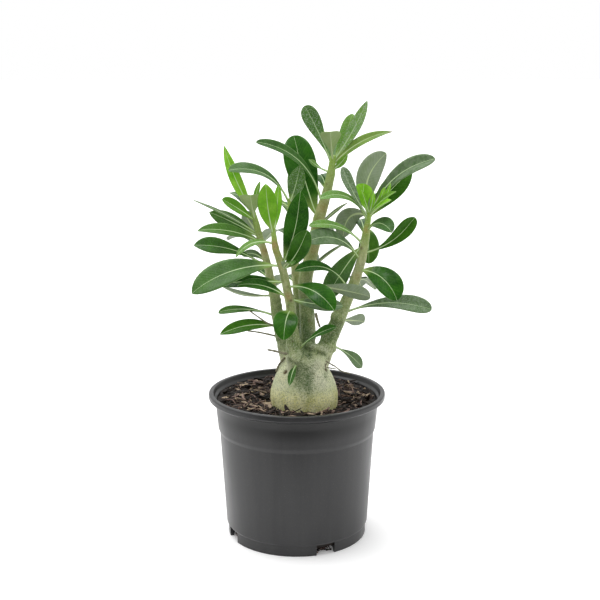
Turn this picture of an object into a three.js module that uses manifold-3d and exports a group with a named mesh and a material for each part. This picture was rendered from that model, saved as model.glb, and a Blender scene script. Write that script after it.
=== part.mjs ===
// A desert rose (Adenium obesum) about 40 cm tall, growing in a black nursery pot.
// The pot is a thin moulded shell, filled with bark potting mix.  The swollen trunk stands in a hole
// in the mix and carries five leafy stems.  Each stem is one solid with its leaves grown into it.
// Millimetres, +Z up, origin at the middle of the pot's underside, -Y is the front.
import * as THREE from "three";
import { mergeVertices } from "three/addons/utils/BufferGeometryUtils.js";
import Module from "manifold-3d";

const wasm = await Module();
wasm.setup();

// Driving dimensions of the pot
const POT_HEIGHT = 137.5;
const RIM_RADIUS = 82.5;
const LIP_WIDTH = 4.3;
const LIP_DEPTH = 5.6;
const WALL_TOP_RADIUS = 75.6;
const SHOULDER_Z = 100.5;
const SHOULDER_RADIUS = 72.4;
const SHOULDER_STEP = { out: 1.5, up: 3.5 };
const WALL_FOOT_RADIUS = 66.9;
const WALL = 1.6;
const FOOT_RADIUS = 65.2;
const FOOT_HEIGHT = 10;
const FOOT_WIDTH = 3.2;
const FLOOR_UNDERSIDE = 3.6;
const FLOOR_TOP = 5.4;
const BOSS_RADIUS = 15;
const NOTCH = { count: 4, firstDeg: -66, width: 18, height: 10, innerRadius: 50 };
const DRAIN_HOLE = { count: 4, radius: 4, ring: 36, sides: 12 };
const POT_SIDES = 44;
const LIP_FOOT = POT_HEIGHT - LIP_DEPTH;
const INNER_WALL = [
  [WALL_TOP_RADIUS - 0.9, LIP_FOOT - 0.6],
  [SHOULDER_RADIUS + SHOULDER_STEP.out - WALL, SHOULDER_Z + SHOULDER_STEP.up + 0.4],
  [SHOULDER_RADIUS - WALL, SHOULDER_Z - 0.2], [WALL_FOOT_RADIUS - WALL + 0.1, FOOT_HEIGHT + 3.4],
  [FOOT_RADIUS - WALL, FOOT_HEIGHT + 0.6], [FOOT_RADIUS - WALL - 0.2, FLOOR_TOP + 1],
];

// Driving dimensions of the potting mix
const MIX_TOP = 131;
const MIX_RELIEF = 1.6;
const MIX_HOLLOW = { depth: 5, fade: 13 };
const MIX_SIDES = 36;
const MIX_RINGS = 6;
const CHIP = { count: 30, fromTrunk: 41, long: [7, 15], wide: [3, 6], thick: [1.4, 2.6], tiltDeg: 24 };
const CLEARANCE = 0.3;

// Driving dimensions of the trunk: [height, radius], and where its axis stands
const TRUNK_AXIS = { x: 7, y: -3 };
const TRUNK = [
  [58, 5], [70, 14], [88, 23], [108, 28.5], [124, 30.5], [136, 31.4], [145, 29.6],
  [154, 26.3], [162, 22], [169, 17.5], [175, 12.5],
];
const TRUNK_SIDES = 26;
const TRUNK_LOBES = { count: 3, share: 0.035 };
const FORK_Z = 176;

// Stems: points [x, y, z, radius] from inside the trunk to the growing tip
const STEMS = {
  back_left: [
    [0, 0, 146, 10], [-6, 5, 163, 9], [-12, 8, 180, 6.8], [-18.5, 11, 204, 4.9], [-21, 13, 222, 4.5],
    [-25, 13, 244, 4], [-29, 13, 262, 3.6], [-33, 12, 276, 3.4], [-37, 9, 293, 3], [-41, 7, 310, 2],
  ],
  front_left: [
    [4, -8, 144, 11], [1, -15, 163, 10], [-2, -19, 180, 7.8], [-4, -21, 197, 6], [-5, -22, 213, 4.9],
    [-6, -22, 226, 4.5], [-9, -22, 240, 4], [-13, -22, 258, 3.7], [-19, -21, 276, 3.3],
    [-21, -19, 294, 2],
  ],
  centre: [
    [8, 2, 146, 10], [11, 9, 163, 8.6], [10, 12, 180, 7.8], [10, 14, 197, 7.5], [9, 16, 217, 7],
    [8, 17, 238, 6.6], [12, 16, 258, 6.2], [17, 15, 280, 5.9], [21, 14, 300, 5.5], [27, 12, 320, 4.5],
    [31, 11, 339, 4], [33, 10, 356, 2.6],
  ],
  right: [
    [11, 0, 144, 12], [20, 0, 163, 10], [28, 0, 182, 8], [36, 0, 200, 7], [43.5, 0, 218, 5.8],
    [50, 1, 233, 5.1], [56, 2, 250, 4.7], [60, 2, 265, 4.3], [63, 3, 284, 3.7], [66, 4, 305, 2.2],
  ],
  back: [
    [8, 10, 146, 9], [6, 23, 163, 6.6], [4, 30, 180, 5.2], [3, 32, 201, 4.8], [1, 33, 221, 4.5],
    [-1, 33, 242, 4.2], [-3, 33, 262, 3.9], [-5, 31, 281, 3.6], [-6, 29, 299, 3.2], [-7, 27, 315, 2],
  ],
};
const STEM_SIDES = 9;
const STEM_STEP = 10;

// Leaves are a narrow wedge at the base and widest beyond the middle.
const BLADE_THICKNESS = 0.8;
const RIB_THICKNESS = 1.5;
const PETIOLE_HALF_WIDTH = 1.1;
const BLADE_STATIONS = [0, 0.15, 0.34, 0.52, 0.68, 0.82, 0.94, 1];
const ROOT_DEPTH = 0.5;
const SLIVER = 0.02;

// Leaf shapes: the share of the length where it is widest, and how its end closes, from round to pointed
const BLUNT = { widest: 0.66, end: 0.58 };
const POINTED = { widest: 0.6, end: 0.8 };
const SPOON = { widest: 0.78, end: 0.5 };
const CUP = { widest: 0.86, end: 0.34 };
const LANCE = { widest: 0.5, end: 0.9 };
const PADDLE = { widest: 0.75, end: 0.55 };
const BROAD = { widest: 0.66, end: 0.7 };
const OVAL = { widest: 0.56, end: 0.62 };
const OAR = { widest: 0.76, end: 0.9 };

// Ways that the upper side of a leaf can look
const UP = [0, 0, 1];
const FRONT = [0, -1, 0.25];
const LEANING = [0, -0.6, 1];
const FRONT_UP = [0, -1, 1];
const BACK = [0, 1, 0.25];
const BACK_UP = [0, 1, 1];

// Each leaf: the stem's height where it grows out, its tip [x, y, z], its width, how far its rib bows up
// as a share of its length, which way its upper side looks, how far its halves fold up, in degrees, its
// shape and, where the rib also bows sideways, how far, as a share of its length.
const LEAVES = {
  right: [
    [303, [125, 4, 353], 18, 0.14, FRONT_UP, 12, PADDLE],
    [300, [106, 20, 341], 21, 0.05, FRONT, 10, POINTED],
    [302, [83, 33, 356], 23, 0.1, BACK, 8, BLUNT, -0.13],
    [304, [61, 4, 331], 17, -0.08, FRONT, 14, SPOON],
    [301, [40, -14, 347], 11.5, -0.03, FRONT_UP, 10, SPOON],
    [298, [21, -22, 321], 10, 0.2, FRONT_UP, 6, PADDLE],
    [304, [88, -18, 326], 7, 0.05, FRONT_UP, 18, POINTED],
    [303, [83.5, -22, 319], 8, 0.03, FRONT_UP, 16, POINTED],
    [305, [84, -4, 332.5], 5, -0.12, FRONT, 20, POINTED],
    [289, [84, -28, 291.5], 17, 0.19, FRONT_UP, 8, BLUNT],
    [268, [105.5, -12, 303], 13.5, -0.1, FRONT, 20, SPOON],
    [290, [68, 34, 252], 20, 0.16, FRONT, 8, BLUNT],
    [302, [43, 26, 278], 21, 0.2, BACK, 6, BLUNT],
    [274, [28, 10, 224], 22, 0.03, FRONT_UP, 8, BLUNT],
    [233, [-2, -34, 257], 13, 0.19, FRONT_UP, 10, OAR],
    [276, [11, -14, 295], 9.5, 0.14, FRONT_UP, 6, PADDLE],
    [262, [9, -28, 283], 20, 0.18, FRONT_UP, 4, PADDLE],
    [200, [22, 0, 196], 8, 0.12, UP, 6, BLUNT],
    [252, [90, -28, 230], 26, 0.16, FRONT_UP, 8, BLUNT],
    [212, [124, -4, 215.5], 18, 0.1, FRONT_UP, 10, SPOON],
    [204, [64, 26, 198], 14, 0.02, BACK, 8, SPOON],
    [181, [62, 20, 154], 13, 0.06, FRONT_UP, 8, OAR],
    [298, [92, 52, 318], 17, 0.12, UP, 10, POINTED],
    [282, [58, 62, 288], 18, 0.14, UP, 8, BLUNT],
    [242, [76, 58, 222], 18, 0.08, UP, 8, POINTED],
    [234, [62, 54, 226], 17, 0.18, UP, 8, BLUNT],
  ],
  front_left: [
    [260, [-92, -46, 240], 27, 0.1, FRONT_UP, 4, BROAD],
    [245, [-74, -30, 244], 14, 0.03, FRONT_UP, 8, POINTED],
    [231, [-52, -40, 246], 12, 0.1, FRONT_UP, 10, POINTED],
    [290, [-27, -27, 334], 18, -0.04, FRONT, 12, POINTED],
    [290, [-16.5, -4, 331], 8.5, -0.06, FRONT, 12, POINTED],
    [262, [2.5, -30, 328], 21.5, -0.06, FRONT, 10, POINTED],
    [257, [9, -40, 295], 18, -0.06, FRONT, 10, BLUNT],
    [280, [-54, -34, 270], 7, 0.18, FRONT_UP, 6, POINTED],
    [241, [34, -48, 224.5], 21, 0.15, FRONT_UP, 8, BROAD],
    [219, [-11.5, -50, 199], 23, 0.2, FRONT_UP, 6, OVAL],
    [184, [36, -26, 205], 9, 0.12, LEANING, 8, OAR],
    [226, [41, -30, 223], 12, 0.05, FRONT_UP, 6, BLUNT],
    [178, [-27, -16, 180], 2.4, 0.04, UP, 0, BLUNT],
    [258, [-4, -47, 266], 12, 0.12, UP, 8, BLUNT],
  ],
  back_left: [
    [306, [-68, 38, 363], 12.5, -0.05, FRONT, 26, LANCE],
    [297, [-67, -8, 318], 13, 0.02, FRONT_UP, 10, BLUNT],
    [300, [-41, -20, 323], 21, -0.04, BACK, 10, CUP],
    [306, [-33, 5, 333], 5, 0.05, FRONT, 16, POINTED],
    [284, [-94, 2, 316], 8, 0.03, UP, 8, LANCE],
    [282, [-81, 20, 303], 15, 0.02, FRONT, 10, POINTED],
    [277, [-89, -14, 291], 14, 0.07, FRONT_UP, 10, POINTED],
    [253, [-94, -2, 275], 19, 0.09, FRONT_UP, 6, OAR],
    [258, [-51, 24, 262], 9, 0.16, FRONT_UP, 6, BLUNT],
    [286, [-49, 24, 303], 14, -0.04, BACK, 10, BLUNT],
    [226, [-71, 26, 232], 8, -0.08, BACK_UP, 6, POINTED],
    [207, [-73, 8, 211], 8.5, 0.08, FRONT_UP, 8, SPOON],
    [197, [-71, -4, 192], 14, 0.09, FRONT_UP, 8, POINTED],
    [190, [-47, 18, 191], 2.4, 0.04, UP, 0, BLUNT],
    [300, [-64, 46, 318], 15, 0.12, UP, 10, POINTED],
    [268, [-66, 54, 272], 17, 0.14, UP, 8, BLUNT],
    [240, [-54, 56, 238], 16, 0.16, UP, 8, POINTED],
  ],
  centre: [
    [350, [7, 14, 400], 16, 0.02, FRONT, 10, SPOON],
    [353, [30, -4, 378], 19, -0.04, BACK, 12, CUP],
    [352, [63, 6, 405], 11, -0.03, FRONT, 12, POINTED],
    [353, [50, 18, 393], 13, -0.04, FRONT, 16, BLUNT],
    [348, [85, -4, 378], 11, 0.09, FRONT_UP, 12, LANCE],
    [343, [45.5, 0, 358], 7, -0.05, FRONT, 16, POINTED],
    [341, [11, 2, 353], 6, -0.06, FRONT_UP, 8, OAR],
    [313, [-36, -6, 369], 12, 0.165, FRONT_UP, 10, SPOON],
    [298, [-2.5, 47, 372], 30, 0.02, FRONT, 10, BLUNT, -0.04],
    [292, [47, 30, 310.7], 9, 0.02, LEANING, 8, LANCE],
    [249, [46, 34, 272], 9, 0.03, UP, 18, LANCE],
    [235, [66, -26, 233], 15, 0.02, BACK, 6, SPOON],
    [346, [34, 64, 364], 15, 0.1, UP, 10, POINTED],
    [330, [30, 88, 326], 14, 0.08, UP, 8, BLUNT],
    [322, [20, 66, 332], 17, 0.12, UP, 8, POINTED],
    [280, [30, 76, 268], 18, 0.16, UP, 8, BLUNT],
  ],
  back: [
    [312, [-62, 14, 342], 18, 0.19, LEANING, 8, SPOON],
    [312, [3, 10, 347], 16, -0.04, FRONT, 12, POINTED],
    [313, [12, 64, 322], 14, 0.04, UP, 12, BLUNT],
    [310, [4, 60, 350], 15, 0.04, UP, 12, POINTED],
    [306, [-44, 70, 300], 18, 0.14, UP, 8, BLUNT],
    [296, [-12, 92, 300], 19, 0.14, UP, 8, POINTED],
    [276, [-32, 86, 266], 18, 0.16, UP, 8, BLUNT],
    [256, [18, 84, 240], 18, 0.18, UP, 8, POINTED],
    [232, [-20, 80, 222], 16, 0.18, UP, 8, BLUNT],
    [206, [8, 72, 196], 13, 0.18, UP, 8, POINTED],
  ],
};
const TRUNK_LEAF = { root: [-1, -24, 168], tip: [-7, -45, 155], width: 7, bow: 0.1, fold: 8 };

const COLOURS = { pot: 0x3c3c3d, mix: 0x2b211c, trunk: 0x9a9f78, foliage: 0x2f7a1f };

// A seeded stream of numbers from 0 to 1, so that every build is the same.
function seeded(seed) {
  let state = seed;
  return () => {
    state = (state * 1664525 + 1013904223) % 4294967296;
    return state / 4294967296;
  };
}

const vector = (p) => new THREE.Vector3(p[0], p[1], p[2]);
const radians = THREE.MathUtils.degToRad;

// Closed triangles as a solid for joining and cutting.
function solid(geometry) {
  const loose = geometry.index ? geometry.toNonIndexed() : geometry;
  const bare = new THREE.BufferGeometry().setAttribute("position", loose.getAttribute("position"));
  const welded = mergeVertices(bare, 1e-4);
  return new wasm.Manifold(new wasm.Mesh({
    numProp: 3,
    vertProperties: welded.attributes.position.array,
    triVerts: new Uint32Array(welded.index.array),
  }));
}

// A solid as a named mesh.
function mesh(name, made, colour, roughness) {
  const { vertProperties, triVerts } = made.getMesh();
  const geometry = new THREE.BufferGeometry();
  geometry.setAttribute("position", new THREE.BufferAttribute(vertProperties, 3));
  geometry.setIndex(new THREE.BufferAttribute(triVerts, 1));
  geometry.computeVertexNormals();
  const material = new THREE.MeshStandardMaterial({ color: colour, roughness, metalness: 0 });
  const made3d = new THREE.Mesh(geometry, material);
  made3d.name = name;
  return made3d;
}

// Triangles between rings of points that run clockwise, seen from the first ring towards the last.
// otherSplit says which quads of a ring are split along their other diagonal.
function loft(rings, otherSplit = () => false) {
  const corners = [];
  const count = rings[0].length;
  const middle = (ring) => ring.reduce((sum, p) => sum.add(p), new THREE.Vector3()).divideScalar(count);
  const [first, last] = [middle(rings[0]), middle(rings[rings.length - 1])];
  for (let k = 0; k < count; k++) {
    const next = (k + 1) % count;
    corners.push(first, rings[0][next], rings[0][k]);
    corners.push(last, rings[rings.length - 1][k], rings[rings.length - 1][next]);
    for (let i = 0; i + 1 < rings.length; i++) {
      const [a, b] = [rings[i][k], rings[i][next]];
      const [d, c] = [rings[i + 1][k], rings[i + 1][next]];
      if (otherSplit(k)) corners.push(a, b, d, b, c, d);
      else corners.push(a, b, c, a, c, d);
    }
  }
  return new THREE.BufferGeometry().setFromPoints(corners);
}

function box(width, depth, height, centre) {
  return new THREE.BoxGeometry(width, depth, height).translate(centre[0], centre[1], centre[2]);
}

// The pot: one lathed profile with a rolled lip, a shoulder for stacking, a foot ring and a centre boss,
// then notches through the foot and drain holes through the floor.
function makePot() {
  const profile = [
    [0, 0], [BOSS_RADIUS, 0], [BOSS_RADIUS + 1.5, FLOOR_UNDERSIDE],
    [FOOT_RADIUS - FOOT_WIDTH - 1, FLOOR_UNDERSIDE], [FOOT_RADIUS - FOOT_WIDTH, 0], [FOOT_RADIUS, 0],
    [FOOT_RADIUS + 0.3, FOOT_HEIGHT], [WALL_FOOT_RADIUS, FOOT_HEIGHT + 1.8],
    [SHOULDER_RADIUS, SHOULDER_Z], [SHOULDER_RADIUS + SHOULDER_STEP.out, SHOULDER_Z + SHOULDER_STEP.up],
    [WALL_TOP_RADIUS, LIP_FOOT - 9], [WALL_TOP_RADIUS + 1.6, LIP_FOOT - 2.2],
    [RIM_RADIUS - 0.8, LIP_FOOT], [RIM_RADIUS, LIP_FOOT + 0.9], [RIM_RADIUS, POT_HEIGHT - 0.9],
    [RIM_RADIUS - 0.8, POT_HEIGHT], [RIM_RADIUS - LIP_WIDTH, POT_HEIGHT],
    [RIM_RADIUS - LIP_WIDTH - 1.1, POT_HEIGHT - 4.2], ...INNER_WALL,
    [FOOT_RADIUS - WALL - 1.2, FLOOR_TOP], [0, FLOOR_TOP],
  ].map(([r, z]) => new THREE.Vector2(r, z));
  let pot = solid(new THREE.LatheGeometry(profile, POT_SIDES).rotateX(Math.PI / 2));
  const notchDepth = RIM_RADIUS - NOTCH.innerRadius;
  for (let i = 0; i < NOTCH.count; i++) {
    const cutter = box(NOTCH.width, notchDepth, 2 * NOTCH.height, [0, -NOTCH.innerRadius - notchDepth / 2, 0]);
    pot = pot.subtract(solid(cutter.rotateZ(radians(NOTCH.firstDeg + (360 / NOTCH.count) * i))));
  }
  for (let i = 0; i < DRAIN_HOLE.count; i++) {
    const angle = radians(NOTCH.firstDeg + 45 + (360 / DRAIN_HOLE.count) * i);
    const hole = new THREE.CylinderGeometry(DRAIN_HOLE.radius, DRAIN_HOLE.radius, 20, DRAIN_HOLE.sides);
    hole.rotateX(Math.PI / 2).translate(DRAIN_HOLE.ring * Math.sin(angle), -DRAIN_HOLE.ring * Math.cos(angle), 0);
    pot = pot.subtract(solid(hole));
  }
  return pot;
}

// The inside radius of the pot at a height, less the clearance.
function mixRadius(z) {
  const i = Math.max(1, INNER_WALL.findIndex(([, height]) => height <= z));
  const [[r0, z0], [r1, z1]] = [INNER_WALL[i - 1], INNER_WALL[i]];
  return r1 + ((r0 - r1) * (z - z1)) / (z0 - z1) - CLEARANCE;
}

// Low hummocks on the mix, made of a few crossing waves, and a shallow hollow round the trunk.
function relief(x, y) {
  const fromTrunk = Math.hypot(x - TRUNK_AXIS.x, y - TRUNK_AXIS.y) - 30;
  const hollow = MIX_HOLLOW.depth * Math.exp(-Math.pow(Math.max(fromTrunk, 0) / MIX_HOLLOW.fade, 2));
  return -hollow + MIX_RELIEF * (
    0.5 * Math.sin(x / 7.3 + 1.3) * Math.cos(y / 6.1) +
    0.3 * Math.sin((x + y) / 4.4) +
    0.3 * Math.cos((x - 1.7 * y) / 5.2 + 0.6)
  );
}

// The potting mix: a plug that fills the pot, its top in hummocks with bark chips lying in it.
function makeMix(hole) {
  const rings = [];
  const ring = (r, height) => Array.from({ length: MIX_SIDES }, (_, k) => {
    const angle = (2 * Math.PI * k) / MIX_SIDES;
    const [x, y] = [r * Math.cos(angle), r * Math.sin(angle)];
    return new THREE.Vector3(x, y, height(x, y));
  });
  const bottom = FLOOR_TOP + CLEARANCE;
  rings.push(ring(mixRadius(bottom + 1.4) - 1.6, () => bottom));
  for (const z of [bottom + 1.4, FOOT_HEIGHT + 0.6, FOOT_HEIGHT + 3.6, SHOULDER_Z - 2, SHOULDER_Z + 4.2]) {
    rings.push(ring(mixRadius(z) - 0.4, () => z));
  }
  const outer = mixRadius(MIX_TOP) - 0.4;
  for (let i = MIX_RINGS; i > 0; i--) {
    rings.push(ring((outer * i) / MIX_RINGS, (x, y) => MIX_TOP + (i === MIX_RINGS ? -2 : relief(x, y))));
  }
  let mix = solid(loft(rings));
  const random = seeded(7);
  const between = ([low, high]) => low + (high - low) * random();
  let laid = 0;
  while (laid < CHIP.count) {
    const [long, wide, thick] = [between(CHIP.long), between(CHIP.wide), between(CHIP.thick)];
    const distance = between([34, outer - 9]);
    const around = 2 * Math.PI * random();
    const [x, y] = [distance * Math.cos(around), distance * Math.sin(around)];
    if (Math.hypot(x - TRUNK_AXIS.x, y - TRUNK_AXIS.y) < CHIP.fromTrunk) continue;
    laid += 1;
    const tilt = new THREE.Euler(
      radians(CHIP.tiltDeg * (2 * random() - 1)), radians(CHIP.tiltDeg * (2 * random() - 1)), Math.PI * random(),
    );
    const chip = new THREE.BoxGeometry(long, wide, thick);
    chip.applyMatrix4(new THREE.Matrix4().makeRotationFromEuler(tilt));
    chip.translate(x, y, MIX_TOP + relief(x, y) + 0.5);
    mix = mix.add(solid(chip));
  }
  return mix.subtract(hole);
}

// The trunk's bulb.  grow makes the same form a little larger, for the hole that it stands in.
function makeBulb(grow = 0) {
  const rings = TRUNK.map(([z, radius], i) => {
    const lift = i === 0 ? -grow : 0;
    return Array.from({ length: TRUNK_SIDES }, (_, k) => {
      const angle = (2 * Math.PI * k) / TRUNK_SIDES;
      const lobe = 1 + TRUNK_LOBES.share * Math.sin(TRUNK_LOBES.count * angle + z / 40);
      const r = radius * lobe + grow;
      return new THREE.Vector3(TRUNK_AXIS.x + r * Math.cos(angle), TRUNK_AXIS.y + r * Math.sin(angle), z + lift);
    });
  });
  return solid(loft(rings));
}

// A point [x, y, z, radius] on a stem, where u counts its given points.
function along(points, u) {
  const i = Math.min(Math.max(Math.floor(u), 0), points.length - 2);
  const t = u - i;
  const at = (k) => points[Math.min(Math.max(k, 0), points.length - 1)];
  const [a, b, c, d] = [at(i - 1), at(i), at(i + 1), at(i + 2)];
  return b.map((_, n) => 0.5 * (
    2 * b[n] + (c[n] - a[n]) * t + (2 * a[n] - 5 * b[n] + 4 * c[n] - d[n]) * t * t +
    (3 * b[n] - a[n] - 3 * c[n] + d[n]) * t * t * t
  ));
}

// The point on a stem at a height: stems only ever climb, so halving finds it.
function atHeight(points, z) {
  let [low, high] = [0, points.length - 1];
  for (let i = 0; i < 30; i++) {
    const middle = (low + high) / 2;
    if (along(points, middle)[2] < z) low = middle;
    else high = middle;
  }
  return along(points, low);
}

// A stem: round rings square to its line, closed by a small dome at the growing tip.
function makeStem(points) {
  const [bottom, top] = [points[0][2], points[points.length - 1][2]];
  const heights = [];
  const steps = Math.round((top - bottom) / STEM_STEP);
  for (let i = 0; i <= steps; i++) heights.push(bottom + ((top - bottom) * i) / steps);
  const rings = heights.map((z) => {
    const [x, y, , r] = atHeight(points, z);
    const ahead = vector(atHeight(points, Math.min(z + 1, top)));
    const behind = vector(atHeight(points, Math.max(z - 1, bottom)));
    const tangent = ahead.sub(behind).normalize();
    const side = tangent.clone().cross(new THREE.Vector3(1, 0, 0)).normalize();
    const front = new THREE.Vector3().crossVectors(side, tangent);
    return Array.from({ length: STEM_SIDES }, (_, k) => {
      const angle = (2 * Math.PI * k) / STEM_SIDES;
      const out = front.clone().multiplyScalar(Math.cos(angle)).addScaledVector(side, Math.sin(angle));
      return new THREE.Vector3(x, y, z).addScaledVector(out, r);
    });
  });
  const tip = vector(points[points.length - 1]);
  rings.push(rings[rings.length - 1].map((p) => p.clone().lerp(tip, 0.55).setZ(p.z + 1.6)));
  return solid(loft(rings));
}

// Half the width of a leaf at a share t of its length, for a leaf one unit wide.
function outline(t, { widest, end }) {
  const wedge = (widest / (1 - widest)) * end;
  return 0.5 * Math.pow(t / widest, wedge) * Math.pow((1 - t) / (1 - widest), end);
}

// A leaf blade: a thin closed form along a bowed rib, its halves folded up along the rib.
function makeBlade(root, tip, width, bow, face, foldDeg, shape, sway = 0) {
  const chord = tip.clone().sub(root);
  const length = chord.length();
  const along = chord.clone().normalize();
  const rise = new THREE.Vector3(0, 0, 1).addScaledVector(along, -along.z).normalize();
  const arch = rise.clone().multiplyScalar(bow).addScaledVector(along.clone().cross(rise), sway);
  const [lift, spread] = [Math.sin(radians(foldDeg)), Math.cos(radians(foldDeg))];
  const rings = BLADE_STATIONS.map((t) => {
    const centre = root.clone().addScaledVector(chord, t).addScaledVector(arch, 4 * length * t * (1 - t));
    const tangent = chord.clone().addScaledVector(arch, 4 * length * (1 - 2 * t)).normalize();
    const normal = vector(face).addScaledVector(tangent, -vector(face).dot(tangent)).normalize();
    const side = new THREE.Vector3().crossVectors(tangent, normal);
    const least = t < shape.widest ? Math.min(PETIOLE_HALF_WIDTH, width / 2) : 0.45;
    const half = Math.max(width * outline(t, shape), least);
    const point = (across, up) => centre.clone()
      .addScaledVector(side, across * half * spread)
      .addScaledVector(normal, Math.abs(across) * half * lift + up);
    const [edge, rib] = [BLADE_THICKNESS / 2, (t < 0.9 ? RIB_THICKNESS : BLADE_THICKNESS) / 2];
    return [point(-1, edge), point(0, rib), point(1, edge), point(1, -edge), point(0, -rib), point(-1, -edge)];
  });
  return solid(loft(rings, (k) => k === 3 || k === 4));
}

// A leaf on a stem: its root sits inside the stem, a little towards the tip.
function makeLeaf(points, [height, tip, width, bow, face, foldDeg, shape, sway]) {
  const [x, y, z, radius] = atHeight(points, height);
  const out = new THREE.Vector3(tip[0] - x, tip[1] - y, 0).normalize().multiplyScalar(ROOT_DEPTH * radius);
  return makeBlade(new THREE.Vector3(x, y, z).add(out), vector(tip), width, bow, face, foldDeg, shape, sway);
}

const everyStem = Object.entries(STEMS).map(([name, points]) => ({ name, points, whole: makeStem(points) }));
const SPAN = 400;
const aboveFork = solid(box(SPAN, SPAN, SPAN, [0, 0, FORK_Z + SPAN / 2]));
const belowFork = solid(box(SPAN, SPAN, SPAN, [0, 0, FORK_Z - SPAN / 2]));

let trunk = makeBulb();
for (const stem of everyStem) trunk = trunk.add(stem.whole);
trunk = trunk.intersect(belowFork);
const { root, tip, width, bow, fold } = TRUNK_LEAF;
trunk = trunk.add(makeBlade(vector(root), vector(tip), width, bow, FRONT_UP, fold, BLUNT));

const group = new THREE.Group();
group.add(mesh("pot", makePot(), COLOURS.pot, 0.5));
group.add(mesh("potting_mix", makeMix(makeBulb(CLEARANCE)), COLOURS.mix, 0.95));
group.add(mesh("trunk", trunk.simplify(SLIVER), COLOURS.trunk, 0.8));
for (const { name, points, whole } of everyStem) {
  let stem = whole.intersect(aboveFork);
  for (const leaf of LEAVES[name]) stem = stem.add(makeLeaf(points, leaf));
  group.add(mesh("leafy_stem_" + name, stem.simplify(SLIVER), COLOURS.foliage, 0.45));
}

export default group;
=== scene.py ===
# %% [markdown]
# # A desert rose in a nursery pot
#
# This lesson dresses a plain solid model of a potted desert rose (Adenium obesum) so that it looks
# real.  The solids already stand in the right places.  Each step looks at one thing that a real
# plant has, and makes it in mesh code with a material of its own.  The scene is in metres, with +Z
# up and the front of the plant towards -Y.  The plant's own sizes are in millimetres, and MM turns
# them into metres.

# %% Load the solids
import math
import random

import bmesh
import bpy
import numpy as np
from mathutils import Matrix, Vector, noise


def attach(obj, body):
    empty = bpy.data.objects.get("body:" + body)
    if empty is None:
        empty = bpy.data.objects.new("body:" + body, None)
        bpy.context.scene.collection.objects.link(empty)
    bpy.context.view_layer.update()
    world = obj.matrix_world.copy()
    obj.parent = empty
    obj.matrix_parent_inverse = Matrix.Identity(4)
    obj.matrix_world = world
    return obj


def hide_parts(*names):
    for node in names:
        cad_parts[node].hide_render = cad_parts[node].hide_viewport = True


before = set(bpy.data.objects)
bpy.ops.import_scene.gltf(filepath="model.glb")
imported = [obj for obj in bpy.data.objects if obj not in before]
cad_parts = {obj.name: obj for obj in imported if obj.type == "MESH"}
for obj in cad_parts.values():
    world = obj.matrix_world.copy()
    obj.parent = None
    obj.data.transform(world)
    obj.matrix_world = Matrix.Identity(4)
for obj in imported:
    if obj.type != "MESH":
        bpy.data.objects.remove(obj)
print("solid nodes:", len(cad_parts))
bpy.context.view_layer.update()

# %% [markdown]
# ## The camera
#
# A product photograph is taken from about a metre away, a little above the pot's rim, so that the
# mix and the foot of the trunk both show.  A long lens keeps the pot's sides nearly straight.  The
# camera looks along +Y and is tipped down by 11.8 degrees, so the view needs no shift.

# %% Camera
MM = 0.001
CAMERA_PLACE = (2.9 * MM, -1.0, 0.433)
CAMERA_DIP = 11.8
FOCAL_LENGTH = 66.5
scene = bpy.context.scene


def new_object(name, data):
    """An object in the scene that shows a mesh, a lamp or a camera."""
    thing = bpy.data.objects.new(name, data)
    scene.collection.objects.link(thing)
    return thing


lens = bpy.data.cameras.new("plant_camera")
lens.sensor_width = 36.0
lens.lens = FOCAL_LENGTH
lens.clip_start = 0.01
scene.camera = new_object("plant_camera", lens)
scene.camera.location = CAMERA_PLACE
scene.camera.rotation_euler = (math.radians(90 - CAMERA_DIP), 0, 0)
print("camera sees %.1f degrees" % math.degrees(lens.angle))

# %% [markdown]
# ## Small helpers
#
# Every piece takes the same few steps, so the steps are helpers.  Some turn points and faces into
# an object, apply its modifiers, write values on its points and seat it in the frame.  Others
# build materials: an input of a node takes either another node's output or a plain value, and
# wire() does whichever is meant.  A material keeps its even values, such as a fixed coat or
# specular level, on the shader's own sockets.

# %% Mesh helpers
def make_smooth(mesh):
    """Shades all faces of a mesh as one smooth surface."""
    mesh.polygons.foreach_set("use_smooth", [True] * len(mesh.polygons))
    mesh.update()


def new_piece(name, points, faces, material):
    """A smooth mesh object made from points in metres."""
    mesh = bpy.data.meshes.new(name)
    mesh.from_pydata([tuple(p) for p in points], [], faces)
    mesh.materials.append(material)
    make_smooth(mesh)
    return new_object(name, mesh)


def evaluated(piece):
    """Applies a piece's modifiers and gives the plain smooth mesh that is left."""
    graph = bpy.context.evaluated_depsgraph_get()
    graph.update()
    rough, baked = piece.data, bpy.data.meshes.new_from_object(piece.evaluated_get(graph))
    piece.modifiers.clear()
    piece.data = baked
    bpy.data.meshes.remove(rough)
    make_smooth(baked)
    return baked


def write_values(mesh, label, values):
    """Stores a number, or three, on each point of a mesh, where its material can read them."""
    values = np.array(values, dtype=np.float32)
    kind, field = ("FLOAT_VECTOR", "vector") if values.ndim == 2 else ("FLOAT", "value")
    mesh.attributes.new(label, kind, "POINT").data.foreach_set(field, values.ravel())


def finished(piece, body, slot, *replaced):
    """Seats a piece on its body and hides the solids that it stands for.  Its slot is not used."""
    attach(piece, body)
    if replaced:
        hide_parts(*replaced)
    triangles = sum(len(p.vertices) - 2 for p in piece.data.polygons)
    print("%-22s %7d triangles" % (piece.name, triangles))


# %% Node helpers
def add(tree, kind, **settings):
    """A shader node with some of its settings or input values set."""
    node = tree.nodes.new("ShaderNode" + kind)
    for key, value in settings.items():
        if hasattr(node, key):
            setattr(node, key, value)
        else:
            node.inputs[key.replace("_", " ")].default_value = value
    return node


def wire(tree, value, socket):
    """Feeds an input with an output or a plain value. Three numbers are an opaque colour."""
    if hasattr(value, "links"):
        tree.links.new(value, socket)
    else:
        socket.default_value = (*value, 1) if isinstance(value, tuple) else value


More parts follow.
